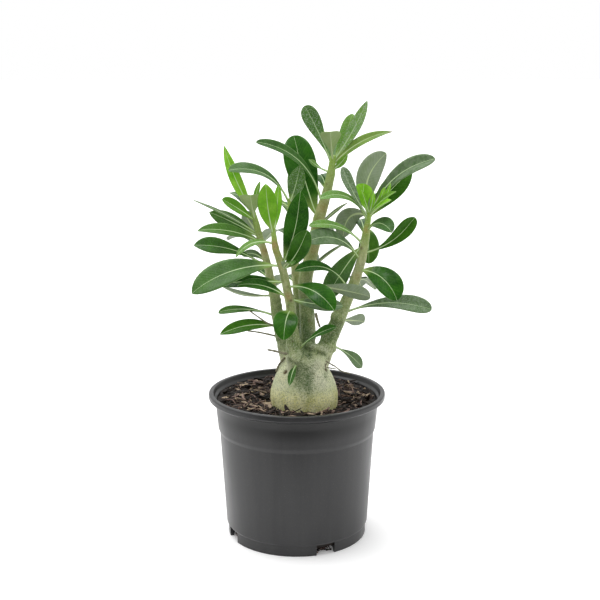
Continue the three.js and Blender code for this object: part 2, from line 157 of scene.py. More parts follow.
def math_node(tree, operation, *values):
    """A Math node. Each value is an output or a number."""
    node = add(tree, "Math", operation=operation)
    for socket, value in zip(node.inputs, values):
        wire(tree, value, socket)
    return node.outputs[0]


def times(tree, value, factor):
    """A value times a factor, with no node for a factor of 1."""
    return value if factor == 1 else math_node(tree, "MULTIPLY", value, factor)


def summed(tree, first, *others):
    """Adds values that are given in pairs with their weights."""
    total = times(tree, *first)
    for pair in others:
        total = math_node(tree, "ADD", total, times(tree, *pair))
    return total


def stepped(tree, value, low, high, to_low=0.0, to_high=1.0):
    """Maps a value smoothly from one range to another."""
    node = add(tree, "MapRange", interpolation_type="SMOOTHSTEP")
    ends = {"From Min": low, "From Max": high, "To Min": to_low, "To Max": to_high}
    for label, number in {"Value": value, **ends}.items():
        wire(tree, number, node.inputs[label])
    return node.outputs["Result"]


def vector_parts(tree, vector):
    """The three numbers in a vector."""
    node = add(tree, "SeparateXYZ")
    wire(tree, vector, node.inputs["Vector"])
    return tuple(node.outputs)


def stored(tree, label):
    """The number, or the three, that write_values() stored on the points of a mesh."""
    return add(tree, "Attribute", attribute_name=label).outputs


def height_of(tree):
    """The height of a spot above the floor, in metres."""
    return vector_parts(tree, add(tree, "TexCoord").outputs["Object"])[2]


# %% Finish helpers
def new_material(name, **shader_values):
    """A material with one Principled shader. Gives the material, its tree and its shader."""
    material = bpy.data.materials.new(name)
    material.use_nodes = True
    shader = material.node_tree.nodes["Principled BSDF"]
    for key, value in shader_values.items():
        shader.inputs[key.replace("_", " ")].default_value = value
    return material, material.node_tree, shader


def mixed(tree, factor, first, second):
    """A mix of two colours, which are outputs or plain colours."""
    node = add(tree, "Mix", data_type="RGBA")
    for number, value in ((0, factor), (6, first), (7, second)):
        wire(tree, value, node.inputs[number])
    return node.outputs[2]


def layered(tree, colour, *layers):
    """Lays colours over a first one. Each layer has a mask, a strength and a colour."""
    for mask, strength, over in layers:
        colour = mixed(tree, times(tree, mask, strength), colour, over)
    return colour


def surfaced(tree, shader, colour, roughness, height, strength, depth):
    """Wires a finish into its shader, with bumps of a strength and a depth in metres."""
    bump = add(tree, "Bump", Strength=strength, Distance=depth)
    wire(tree, height, bump.inputs["Height"])
    wire(tree, bump.outputs["Normal"], shader.inputs["Normal"])
    wire(tree, colour, shader.inputs["Base Color"])
    wire(tree, roughness, shader.inputs["Roughness"])


# %% [markdown]
# ## Floor and light
#
# The plant is lit like a catalogue picture: a white surround that is brightest above and at the
# sides, a darker room behind the camera, and one broad light overhead.  The sides of the black pot
# and the waxy leaves mirror that white surround, which makes their edges pale while their fronts
# stay deep.  The floor is a plain white sheet that ends a little in front of the pot, so that the
# upper half of the pot mirrors the dark room and the lower half mirrors the sheet.  A soft fill
# from beside the camera lights the fronts.  It is polarised, as it often is for shiny subjects, so
# it leaves no glare on them.

# %% Floor
SHEET_FRONT, SHEET_REACH = -0.25, 40
SHEET = [
    (-SHEET_REACH, SHEET_FRONT, 0), (SHEET_REACH, SHEET_FRONT, 0),
    (SHEET_REACH, SHEET_REACH, 0), (-SHEET_REACH, SHEET_REACH, 0),
]
white_paper, _, _ = new_material(
    "white_paper", Base_Color=(1, 1, 1, 1), Roughness=0.9, Specular_IOR_Level=0.1,
    Emission_Color=(1, 1, 1, 1), Emission_Strength=0.1,
)
floor = new_piece("floor", SHEET, [(0, 1, 2, 3)], white_paper)
print("the floor starts %.2f m before the plant" % -SHEET_FRONT)

# %% White surround
FRONT_GLOW, SIDE_GLOW, TOP_GLOW = 0.2, 1.0, 0.1
SIDE_FADE = (-0.9, 0.5)
TOP_FADE = (0.2, 1.0)

surround = bpy.data.worlds.new("white_surround")
surround.use_nodes = True
sky = surround.node_tree
_, forward, upward = vector_parts(sky, add(sky, "TexCoord").outputs["Generated"])
side_glow = stepped(sky, forward, *SIDE_FADE, FRONT_GLOW, SIDE_GLOW)
glow = math_node(sky, "ADD", side_glow, stepped(sky, upward, *TOP_FADE, 0.0, TOP_GLOW))
choice = add(sky, "Mix")
seen = add(sky, "LightPath").outputs["Is Camera Ray"]
for number, value in ((0, seen), (2, glow), (3, 1.0)):
    wire(sky, value, choice.inputs[number])
background = sky.nodes["Background"]
background.inputs["Color"].default_value = (1, 1, 1, 1)
wire(sky, choice.outputs[0], background.inputs["Strength"])
scene.world = surround
scene.view_settings.view_transform = "Standard"
print("surround has", len(sky.nodes), "nodes")


# %% Overhead and fill lights
def soft_sun(name, energy, width, source):
    """A lamp that is as wide as a softbox, in degrees, and shines from the source's direction."""
    light = bpy.data.lights.new(name, "SUN")
    light.energy = energy
    light.angle = math.radians(width)
    lamp = new_object(name, light)
    lamp.rotation_euler = (-Vector(source)).to_track_quat("-Z", "Y").to_euler()
    return lamp


soft_sun("overhead", energy=2.3, width=60, source=(-0.25, 0.15, 1.0))
fill = soft_sun("fill", energy=1.2, width=90, source=(0.25, -1.0, 0.35))
fill.visible_glossy = False

# %% [markdown]
# ## Effects that several finishes share
#
# Real surfaces are never even.  Two effects come back on almost every piece here: fine speckle,
# and dust or cloudy variation.  Each is a node group, built once and then placed in each material
# with its own values.  A group is better than copied nodes, because a better speckle then helps
# every finish.

# %% Group helpers
NUMBER = "NodeSocketFloat"


def new_group(name, inputs, outputs):
    """An empty shader group. Gives it with what it is given and what it is to put out."""
    group = bpy.data.node_groups.new(name, "ShaderNodeTree")
    for label, value in inputs.items():
        socket = group.interface.new_socket(label, in_out="INPUT", socket_type=NUMBER)
        socket.default_value = value
    for label in outputs:
        group.interface.new_socket(label, in_out="OUTPUT", socket_type=NUMBER)
    given = group.nodes.new("NodeGroupInput").outputs
    return group, given, group.nodes.new("NodeGroupOutput").inputs


def placed(tree, group, **values):
    """Puts a group into a tree with its own values, and gives its outputs."""
    node = add(tree, "Group", node_tree=group)
    for label, value in values.items():
        wire(tree, value, node.inputs[label.replace("_", " ")])
    return tuple(node.outputs)


def noise_in_group(group, given, vector, edges, **settings):
    """Noise that a mask cuts off between two edges. Gives the mask and the noise."""
    node = add(group, "TexNoise", **settings)
    wire(group, vector, node.inputs["Vector"])
    wire(group, given["Scale"], node.inputs["Scale"])
    low, high = (math_node(group, operation, *edges) for operation in ("SUBTRACT", "ADD"))
    return stepped(group, node.outputs["Fac"], low, high), node.outputs["Fac"]


# %% Speckle group
speckle, given, wanted = new_group(
    "speckle", {"Scale": 900.0, "Share": 0.5, "Softness": 0.1}, ("Mask", "Height")
)
place = add(speckle, "TexCoord").outputs["Object"]
edges = (given["Share"], given["Softness"])
mask, grain = noise_in_group(speckle, given, place, edges, Detail=3.0, Roughness=0.65)
wire(speckle, mask, wanted["Mask"])
wire(speckle, grain, wanted["Height"])


def specks(tree, scale, share, softness):
    """Places the speckle group. Gives its mask and its height."""
    return placed(tree, speckle, Scale=scale, Share=share, Softness=softness)


# %% Cloud group
cloud, given, wanted = new_group(
    "cloud", {"Scale": 40.0, "Stretch": 1.0, "Contrast": 0.2}, ("Mask",)
)
squeeze = add(cloud, "CombineXYZ", X=1.0, Y=1.0)
wire(cloud, given["Stretch"], squeeze.inputs["Z"])
stretched = add(cloud, "VectorMath", operation="MULTIPLY")
wire(cloud, add(cloud, "TexCoord").outputs["Object"], stretched.inputs[0])
wire(cloud, squeeze.outputs["Vector"], stretched.inputs[1])
edges = (0.5, given["Contrast"])
mask, _ = noise_in_group(
    cloud, given, stretched.outputs["Vector"], edges, Detail=4.0, Roughness=0.55
)
wire(cloud, mask, wanted["Mask"])


def clouds(tree, scale, stretch=1.0, contrast=0.2):
    """Places the cloud group. Gives its mask."""
    return placed(tree, cloud, Scale=scale, Stretch=stretch, Contrast=contrast)[0]


print("shared effects:", [g.name for g in bpy.data.node_groups])

# %% [markdown]
# ## The pot's plastic
#
# A nursery pot is thin black polypropylene, moulded in one shot.  It isn't quite black: it has a
# soft satin sheen, cloudy duller places, faint upright flow marks and a little pale dust that
# dried on it after watering.  A band just under the lip is painted blackest, as painted shade from
# the lip.  One Principled shader with noise in its colour and roughness shows all of that.

# %% Pot plastic
LIP_SHADE_FOOT = (0.108, 0.12)
LIP_SHADE_TOP = (0.1305, 0.1325)

pot_plastic, tree, shader = new_material("pot_plastic", Specular_IOR_Level=0.4)
dull = clouds(tree, 26.0, 0.35, 0.22)
flow = clouds(tree, 120.0, 0.04, 0.25)
fleck, fleck_height = specks(tree, 1500.0, 0.66, 0.06)
height = height_of(tree)
# Painted shade: the wall just under the lip is painted nearly black, as if the lip shaded it.
painted_lip_shade = times(
    tree, stepped(tree, height, *LIP_SHADE_FOOT, 0.0, 0.9), stepped(tree, height, *LIP_SHADE_TOP, 1.0, 0.0)
)
colour = layered(
    tree, mixed(tree, dull, (0.018, 0.018, 0.019), (0.026, 0.026, 0.027)),
    (flow, 0.35, (0.036, 0.036, 0.036)),
    (fleck, 0.25, (0.16, 0.15, 0.14)),
    (painted_lip_shade, 1, (0.006, 0.006, 0.006)),
)
relief = summed(tree, (fleck_height, 0.25), (flow, 0.3))
surfaced(tree, shader, colour, stepped(tree, dull, 0, 1, 0.3, 0.42), relief, 0.25, 0.0003)
print("pot plastic has", len(tree.nodes), "nodes")

# %% [markdown]
# ## The pot
#
# The solid pot has flat sides round its edge, which would show as corners in a close picture.  So
# this piece turns the same profile with many more steps and rounds each edge a little.  The
# notches that let water out from under the pot are then cut with a Boolean modifier, the quickest
# safe way to cut a curved wall with a straight-sided tool.

# %% Pot sizes, the same as the solid's
POT_HEIGHT = 137.5
RIM_RADIUS = 82.5
LIP_WIDTH = 4.3
LIP_DEPTH = 5.6
WALL_TOP_RADIUS = 75.6
SHOULDER_Z = 100.5
SHOULDER_RADIUS = 72.4
SHOULDER_OUT, SHOULDER_UP = 1.5, 3.5
WALL_FOOT_RADIUS = 66.9
WALL = 1.6
FOOT_RADIUS = 65.2
FOOT_HEIGHT = 10.0
FOOT_WIDTH = 3.2
FLOOR_UNDERSIDE = 3.6
FLOOR_TOP = 5.4
BOSS_RADIUS = 15.0
LIP_FOOT = POT_HEIGHT - LIP_DEPTH
POT_STEPS = 144

# A corner of the inner wall is its radius and height. The profile adds how far it is rounded.
inner_wall = [
    (WALL_TOP_RADIUS - 0.9, LIP_FOOT - 0.6),
    (SHOULDER_RADIUS + SHOULDER_OUT - WALL, SHOULDER_Z + SHOULDER_UP + 0.4),
    (SHOULDER_RADIUS - WALL, SHOULDER_Z - 0.2),
    (WALL_FOOT_RADIUS - WALL + 0.1, FOOT_HEIGHT + 3.4),
    (FOOT_RADIUS - WALL, FOOT_HEIGHT + 0.6),
    (FOOT_RADIUS - WALL - 0.2, FLOOR_TOP + 1),
]
pot_profile = [
    (0, 0, 0), (BOSS_RADIUS, 0, 0.3), (BOSS_RADIUS + 1.5, FLOOR_UNDERSIDE, 0.4),
    (FOOT_RADIUS - FOOT_WIDTH - 1, FLOOR_UNDERSIDE, 0.4), (FOOT_RADIUS - FOOT_WIDTH, 0, 0.4),
    (FOOT_RADIUS, 0, 0.5), (FOOT_RADIUS + 0.3, FOOT_HEIGHT, 0.4),
    (WALL_FOOT_RADIUS, FOOT_HEIGHT + 1.8, 1.0), (SHOULDER_RADIUS, SHOULDER_Z, 0.5),
    (SHOULDER_RADIUS + SHOULDER_OUT, SHOULDER_Z + SHOULDER_UP, 1.2),
    (WALL_TOP_RADIUS, LIP_FOOT - 9, 2.0), (WALL_TOP_RADIUS + 1.6, LIP_FOOT - 2.2, 1.0),
    (RIM_RADIUS - 0.8, LIP_FOOT, 0.5), (RIM_RADIUS, LIP_FOOT + 0.9, 0.5),
    (RIM_RADIUS, POT_HEIGHT - 0.9, 0.6), (RIM_RADIUS - 0.8, POT_HEIGHT, 0.5),
    (RIM_RADIUS - LIP_WIDTH, POT_HEIGHT, 0.7),
    (RIM_RADIUS - LIP_WIDTH - 1.1, POT_HEIGHT - 4.2, 0.8),
    *[(r, z, 0.5) for r, z in inner_wall],
    (FOOT_RADIUS - WALL - 1.2, FLOOR_TOP, 0.5), (0, FLOOR_TOP, 0),
]
print("pot: %.1f mm high, %.1f mm across its rim" % (POT_HEIGHT, 2 * RIM_RADIUS))


# %% Turn the pot
CORNER_STEPS = 3
CORNER_REACH = 0.45


def rounded(corners):
    """Replaces each corner (r, z, radius) of a profile by a short curve."""
    line = []
    for i, (r, z, size) in enumerate(corners):
        here = Vector((r, z))
        if size == 0:
            line.append(here)
            continue
        before, after = Vector(corners[i - 1][:2]) - here, Vector(corners[i + 1][:2]) - here
        reach = min(size, before.length * CORNER_REACH, after.length * CORNER_REACH)
        start, end = here + before.normalized() * reach, here + after.normalized() * reach
        for k in range(CORNER_STEPS + 1):
            t = k / CORNER_STEPS
            line.append(start * (1 - t) ** 2 + here * 2 * t * (1 - t) + end * t ** 2)
    return line


def turns(count):
    """Angles that go evenly round a circle."""
    return [2 * math.pi * k / count for k in range(count)]


def turned(line, steps):
    """Points and faces of a profile turned about Z. Its first and last points are on the axis."""
    points = [(0, 0, line[0].y * MM)]
    for spot in line[1:-1]:
        r, z = spot.x * MM, spot.y * MM
        points += [(r * math.cos(angle), r * math.sin(angle), z) for angle in turns(steps)]
    points.append((0, 0, line[-1].y * MM))
    last = len(points) - 1 - steps
    faces = []
    for k in range(steps):
        nxt = (k + 1) % steps
        faces.append((0, 1 + nxt, 1 + k))
        faces += [
            (a + k, a + nxt, a + steps + nxt, a + steps + k) for a in range(1, last, steps)
        ]
        faces.append((last + k, last + nxt, len(points) - 1))
    return points, faces


pot_points, pot_faces = turned(rounded(pot_profile), POT_STEPS)
pot = new_piece("pot_moulded", pot_points, pot_faces, pot_plastic)
print("pot profile turned in", POT_STEPS, "steps")

# %% Cut the notches and the drain holes
NOTCH_WIDTH = 18.0
NOTCH_HEIGHT = 10.0
NOTCH_INNER = 50.0
NOTCH_DEPTH = RIM_RADIUS - NOTCH_INNER
FIRST_NOTCH = -66.0
NOTCH_ANGLES = [math.radians(FIRST_NOTCH + 90 * i) for i in range(4)]
DRAIN_RING = 36.0
DRAIN_RADIUS = 4.0
DRAIN_STEPS, DRAIN_CUT = 28, 20
SHARP_EDGE = math.radians(40)

tool = bmesh.new()
for notch_angle in NOTCH_ANGLES:
    turn = Matrix.Rotation(notch_angle, 4, "Z")
    size = Matrix.Diagonal((NOTCH_WIDTH * MM, NOTCH_DEPTH * MM, 2 * NOTCH_HEIGHT * MM, 1))
    spot = Matrix.Translation((0, -(NOTCH_INNER + NOTCH_DEPTH / 2) * MM, 0))
    bmesh.ops.create_cube(tool, size=1, matrix=turn @ spot @ size)
    angle = notch_angle + math.radians(45)
    hole = (DRAIN_RING * MM * math.sin(angle), -DRAIN_RING * MM * math.cos(angle), 0)
    bmesh.ops.create_cone(
        tool, cap_ends=True, segments=DRAIN_STEPS, radius1=DRAIN_RADIUS * MM,
        radius2=DRAIN_RADIUS * MM, depth=DRAIN_CUT * MM, matrix=Matrix.Translation(hole),
    )
cutter = new_object("cutter", bpy.data.meshes.new("cutter"))
tool.to_mesh(cutter.data)
tool.free()
cut = pot.modifiers.new("notches", "BOOLEAN")
cut.operation = "DIFFERENCE"
cut.solver = "EXACT"
cut.object = cutter
evaluated(pot).set_sharp_from_angle(angle=SHARP_EDGE)
bpy.data.objects.remove(cutter)
finished(pot, "root", "pot_plastic", "pot")

# %% [markdown]
# ## The shape of the plant
#
# The next cell repeats the numbers of the solid plant: the trunk's rings, as height and radius,
# and the line of each stem, as x, y, z and radius.  Repeating them, rather than guessing new ones,
# is what keeps the dressed plant inside the solid one.

# %% Trunk and stem numbers
TRUNK_AXIS = (7.0, -3.0)
TRUNK = [
    (58, 5), (70, 14), (88, 23), (108, 28.5), (124, 30.5), (136, 31.4), (145, 29.6), (154, 26.3),
    (162, 22), (169, 17.5), (175, 12.5),
]
STEMS = {
    "back_left": [
        (0, 0, 146, 10), (-6, 5, 163, 9), (-12, 8, 180, 6.8), (-18.5, 11, 204, 4.9),
        (-21, 13, 222, 4.5), (-25, 13, 244, 4), (-29, 13, 262, 3.6), (-33, 12, 276, 3.4),
        (-37, 9, 293, 3), (-41, 7, 310, 2),
    ],
    "front_left": [
        (4, -8, 144, 11), (1, -15, 163, 10), (-2, -19, 180, 7.8), (-4, -21, 197, 6),
        (-5, -22, 213, 4.9), (-6, -22, 226, 4.5), (-9, -22, 240, 4), (-13, -22, 258, 3.7),
        (-19, -21, 276, 3.3), (-21, -19, 294, 2),
    ],
    "centre": [
        (8, 2, 146, 10), (11, 9, 163, 8.6), (10, 12, 180, 7.8), (10, 14, 197, 7.5), (9, 16, 217, 7),
        (8, 17, 238, 6.6), (12, 16, 258, 6.2), (17, 15, 280, 5.9), (21, 14, 300, 5.5),
        (27, 12, 320, 4.5), (31, 11, 339, 4), (33, 10, 356, 2.6),
    ],
    "right": [
        (11, 0, 144, 12), (20, 0, 163, 10), (28, 0, 182, 8), (36, 0, 200, 7), (43.5, 0, 218, 5.8),
        (50, 1, 233, 5.1), (56, 2, 250, 4.7), (60, 2, 265, 4.3), (63, 3, 284, 3.7),
        (66, 4, 305, 2.2),
    ],
    "back": [
        (8, 10, 146, 9), (6, 23, 163, 6.6), (4, 30, 180, 5.2), (3, 32, 201, 4.8), (1, 33, 221, 4.5),
        (-1, 33, 242, 4.2), (-3, 33, 262, 3.9), (-5, 31, 281, 3.6), (-6, 29, 299, 3.2),
        (-7, 27, 315, 2),
    ],
}


def along(points, u):
    """A smooth point (x, y, z, radius) on a stem, where u counts its given points."""
    i = min(max(int(u), 0), len(points) - 2)
    t = u - i
    a, b, c, d = (points[min(max(k, 0), len(points) - 1)] for k in (i - 1, i, i + 1, i + 2))
    return [
        0.5 * (2 * b[n] + (c[n] - a[n]) * t + (2 * a[n] - 5 * b[n] + 4 * c[n] - d[n]) * t * t
               + (3 * b[n] - a[n] - 3 * c[n] + d[n]) * t ** 3)
        for n in range(4)
    ]


def at_height(points, z):
    """The point on a stem at a height. Stems only climb, so halving finds it."""
    low, high = 0.0, len(points) - 1.0
    for _ in range(30):
        middle = (low + high) / 2
        if along(points, middle)[2] < z:
            low = middle
        else:
            high = middle
    return along(points, low)


print("stems:", {name: "%d mm" % (p[-1][2] - p[0][2]) for name, p in STEMS.items()})

# %% [markdown]
# ## Bark
#
# The trunk of a desert rose stores water.  Its skin is thin and stretched tight: grey-green,
# finely speckled with pale cork, and yellower near the mix.  Algae darken the places that stay
# damp, and the nodes where leaves fell are rusty.  Painted shade darkens the creases and recesses
# of the forks, and painted highlights lighten the lit sides of the swollen trunk and its knuckles.
# The youngest wood near the leaves is green.  Height and noise give the ground colours.  The
# stains and the painted light lie where they lie on the real plant, so they come from values that
# are written on each point of the mesh.

# %% Bark material
MIX_LINE = (0.137, 0.149)
STEMS_BEGIN = (0.158, 0.19)
STEMS_TAN = (0.2, 0.245)
SWELLING = (0.14, 0.158)
GRAIN_FADES = (0.185, 0.235)

bark, tree, shader = new_material("bark", Specular_IOR_Level=0.3)
height = height_of(tree)
damp_and_shade, painted_highlight, rust_stain = vector_parts(tree, stored(tree, "stains_and_painted_light")["Vector"])
patch = clouds(tree, 34.0, 1.0, 0.16)
fine_patch = clouds(tree, 150.0, 0.45, 0.12)
pale_fleck, pale_height = specks(tree, 900.0, 0.54, 0.05)
dark_fleck, dark_height = specks(tree, 760.0, 0.54, 0.05)
pit_fleck, _ = specks(tree, 300.0, 0.64, 0.03)

low_skin = mixed(tree, fine_patch, (0.72, 0.71, 0.28), (0.88, 0.86, 0.46))
swollen = mixed(tree, patch, (0.52, 0.58, 0.31), (0.74, 0.76, 0.5))
stem_green = mixed(tree, fine_patch, (0.19, 0.28, 0.085), (0.3, 0.36, 0.14))
stem_tan = mixed(tree, fine_patch, (0.27, 0.33, 0.11), (0.42, 0.45, 0.21))
stem_skin = mixed(tree, stepped(tree, height, *STEMS_TAN), stem_green, stem_tan)

# Damp and shaded bark shows fewer pale flecks and more dark ones, and the grain fades out up the
# stems.
damp_and_shaded = times(tree, damp_and_shade, stepped(tree, fine_patch, 0, 1, 1.0, 0.72))
low_grain = stepped(tree, height, *SWELLING, 0.8, 0.85)
grainy = times(tree, low_grain, stepped(tree, height, *GRAIN_FADES, 1.0, 0.35))
pale_grain = times(tree, grainy, stepped(tree, damp_and_shaded, 0.0, 0.7, 0.55, 0.34))
dark_grain = times(tree, grainy, stepped(tree, damp_and_shaded, 0.0, 0.6, 0.48, 0.95))
# The damp layer is algae stain and painted shade; the pale stain layer is painted highlight.
skin = layered(
    tree, low_skin,
    (stepped(tree, height, *MIX_LINE), 1, swollen),
    (stepped(tree, height, *STEMS_BEGIN), 1, stem_skin),
    (stored(tree, "youth")["Fac"], 1, (0.3, 0.47, 0.08)),
    (damp_and_shaded, 1, (0.05, 0.1, 0.024)),
    (painted_highlight, 1, (0.6, 0.6, 0.45)),
    (rust_stain, 1, (0.4, 0.2, 0.07)),
    (pale_fleck, pale_grain, (0.7, 0.73, 0.54)),
    (dark_fleck, dark_grain, (0.08, 0.13, 0.04)),
    (pit_fleck, 0.3, (0.1, 0.09, 0.04)),
    (stored(tree, "scar")["Fac"], 1, (0.1, 0.06, 0.03)),
)
relief = summed(tree, (pale_height, 1), (dark_height, 1))
surfaced(tree, shader, skin, stepped(tree, patch, 0, 1, 0.52, 0.7), relief, 0.6, 0.0006)
print("bark has", len(tree.nodes), "nodes")

# %% [markdown]
# On the real plant there is no seam where a stem leaves the trunk: the wood swells and flows from
# one into the other.  So the trunk, the stems and round knees at the forks are made as separate
# rough forms, and a voxel Remesh melts them into one skin.  A Smooth modifier then softens the
# joins.

# %% Knees
# Each knee is a ball: x, y, z and its radius.
KNEES = [
    (-1.7, -22, 176.6, 8.1), (-1.5, -19, 184, 7.6), (4, -19, 157, 8), (20, -10, 166, 8),
    (26, -6, 172, 7), (13, -9, 168, 9), (-5, -4, 163, 7), (29, 1, 188, 7.4), (38, -1, 208, 7.6),
    (12, 10, 168, 9), (1, 14, 166, 8), (-12, 8, 178, 7.2), (-14, 9, 188, 6.2), (10, 13, 186, 8.3),
    (17, -1, 178.5, 4.6), (22, -6.5, 178, 4.4), (27.5, -6.5, 175, 4.2), (12.5, 2, 180, 4.2),
    (30, -3, 180, 7.4), (18, -12, 166, 8.5), (9, -16, 164, 8.5), (-19.5, 12, 227, 4.3),
    (-18.6, 11, 221.5, 4.5), (-17.8, 10.5, 216, 4.7), (-17, 10, 210.5, 4.8), (-16.2, 9.5, 205, 4.8),
]
print("knees:", len(KNEES))


# %% Rough wood forms
TRUNK_SLICES, TRUNK_SIDES = 46, 64
TRUNK_WOBBLE = 0.035
STEM_STEP, STEM_SIDES = 2.5, 20


def ring_of(centre, right, up, size, angles):
    """A ring of points round a centre, in a plane that two directions give."""
    return [(centre + (right * math.cos(a) + up * math.sin(a)) * size) * MM for a in angles]


def ring_form(rings):
    """Points and faces of a closed form through rings of points that all have the same count."""
    count = len(rings[0])
    points = [p for ring in rings for p in ring]
    faces = [tuple(reversed(range(count)))]
    for i in range(0, len(points) - count, count):
        for k in range(count):
            nxt = (k + 1) % count
            faces.append((i + k, i + nxt, i + count + nxt, i + count + k))
    faces.append(tuple(range(len(points) - count, len(points))))
    return points, faces


def joined(forms):
    """Several sets of points and faces as one."""
    points, faces = [], []
    for more_points, more_faces in forms:
        start = len(points)
        points += more_points
        faces += [tuple(start + v for v in face) for face in more_faces]
    return points, faces


def trunk_rings():
    """The trunk, with three very low ribs that lean as they climb."""
    profile = [(0, 0, z, r) for z, r in TRUNK]
    foot, top = TRUNK[0][0], TRUNK[-1][0]
    rings = []
    for slice_number in range(TRUNK_SLICES + 1):
        z = foot + slice_number * (top - foot) / TRUNK_SLICES
        i = max(j for j in range(len(TRUNK) - 1) if TRUNK[j][0] <= z + 1e-6)
        radius = along(profile, i + (z - TRUNK[i][0]) / (TRUNK[i + 1][0] - TRUNK[i][0]))[3]
        ring = []
        for angle in turns(TRUNK_SIDES):
            r = radius * (1 + TRUNK_WOBBLE * math.sin(3 * angle + z / 40))
            x, y = TRUNK_AXIS[0] + r * math.cos(angle), TRUNK_AXIS[1] + r * math.sin(angle)
            ring.append((x * MM, y * MM, z * MM))
        rings.append(ring)
    return ring_form(rings)


def stem_rings(points):
    """A stem as a row of rings, each set square to the way it grows."""
    bottom, top = points[0][2], points[-1][2]
    count = round((top - bottom) / STEM_STEP)
    rings = []
    for i in range(count + 1):
        z = bottom + (top - bottom) * i / count
        x, y, _, r = at_height(points, z)
        ahead = Vector(at_height(points, min(z + 1, top))[:3])
        tangent = (ahead - Vector(at_height(points, max(z - 1, bottom))[:3])).normalized()
        side = tangent.cross(Vector((1, 0, 0))).normalized()
        front = side.cross(tangent)
        rings.append(ring_of(Vector((x, y, z)), front, side, r, turns(STEM_SIDES)))
    return ring_form(rings)


def ball_form(radius, matrix=Matrix()):
    """Points and faces of a ball."""
    ball = bmesh.new()
    bmesh.ops.create_icosphere(ball, subdivisions=2, radius=radius, matrix=matrix)
    points = [v.co.copy() for v in ball.verts]
    faces = [tuple(v.index for v in f.verts) for f in ball.faces]
    ball.free()
    return points, faces


rough_forms = [trunk_rings()] + [stem_rings(points) for points in STEMS.values()]
for x, y, z, r in KNEES:
    rough_forms.append(ball_form(r * MM, Matrix.Translation((x * MM, y * MM, z * MM))))
wood = new_piece("wood_skin", *joined(rough_forms), bark)
print("rough wood:", len(wood.data.vertices), "points")

# %% Melt the forms into one skin
MELT_STEP = 0.95
SOFTENING, SOFTEN_ROUNDS = 0.5, 5

melt = wood.modifiers.new("melt", "REMESH")
melt.mode = "VOXEL"
melt.voxel_size = MELT_STEP * MM
soften = wood.modifiers.new("soften", "SMOOTH")
soften.factor = SOFTENING
soften.iterations = SOFTEN_ROUNDS
wood_mesh = evaluated(wood)
print("wood skin:", len(wood_mesh.vertices), "points")

# %% [markdown]
# Now the skin gets its relief.  Broad noise makes the trunk a little uneven, finer noise runs
# along the stems, and each fallen leaf leaves a scar: a flat oval with a raised lip, set in a
# spiral up the stem.  Creases follow the forks, where the wood has swollen and pressed together:
# the deepest runs under the knob of the front stem.  The marks of this one plant are listed one
# by one, because noise would put them in other places.

# %% Marks of the real plant
# A crease is a line of points, its width and its depth.  A bulge is x, y, z, its size and its rise.
CREASES = [
    ([(-6.8, -27.6, 174.5), (-5.3, -27.9, 171.5), (-1.6, -26.7, 169.1), (1.9, -26.7, 170),
      (4.7, -25.9, 172.9), (6.1, -25.1, 176.4), (5.9, -24.4, 180.8), (4.5, -22.6, 184.2),
      (3.7, -22, 187.8)], 1.6, 3.0),
    ([(-9.6, -21.9, 191.6), (-9.2, -21.5, 184), (-7.7, -27.4, 177.1)], 1.2, 0.8),
    ([(0.7, -25.6, 190.5), (-0.2, -26.6, 185.2), (-0.4, -29.7, 180.4), (0.2, -31, 175.2),
      (-0.3, -27.8, 169.7)], 0.8, 0.9),
    ([(6.2, -22.4, 180.1), (10.6, -13.4, 175.4), (15.7, -11.2, 176.2), (20.4, -8.8, 177),
      (24.9, -10.4, 175.3), (28.7, -10.3, 171.1)], 1.6, 2.8),
    ([(12.6, -4.2, 182), (16.8, -3.2, 183), (21, -7, 183.4), (25, -10, 181.6)], 1.0, 1.3),
    ([(5.1, 9.4, 204.9), (5.7, 8.1, 197.6), (6.2, 6.8, 190.3), (7.1, 5.2, 182.9)], 1.2, 1.0),
    ([(-15, 0, 176), (-13, -8, 172)], 1.4, 0.8),
]
BULGES = [
    (3.3, -28, 181, 2.4, 0.9), (-4.3, -30.5, 177, 3.5, 0.7), (13, -3.8, 180, 3, 1.2),
    (18, -4, 180.5, 3, 1.2), (23, -9.5, 180, 3.4, 1.5), (27.5, -9.9, 178, 3, 1.0),
    (15, -20, 168, 6, 1.0),
]
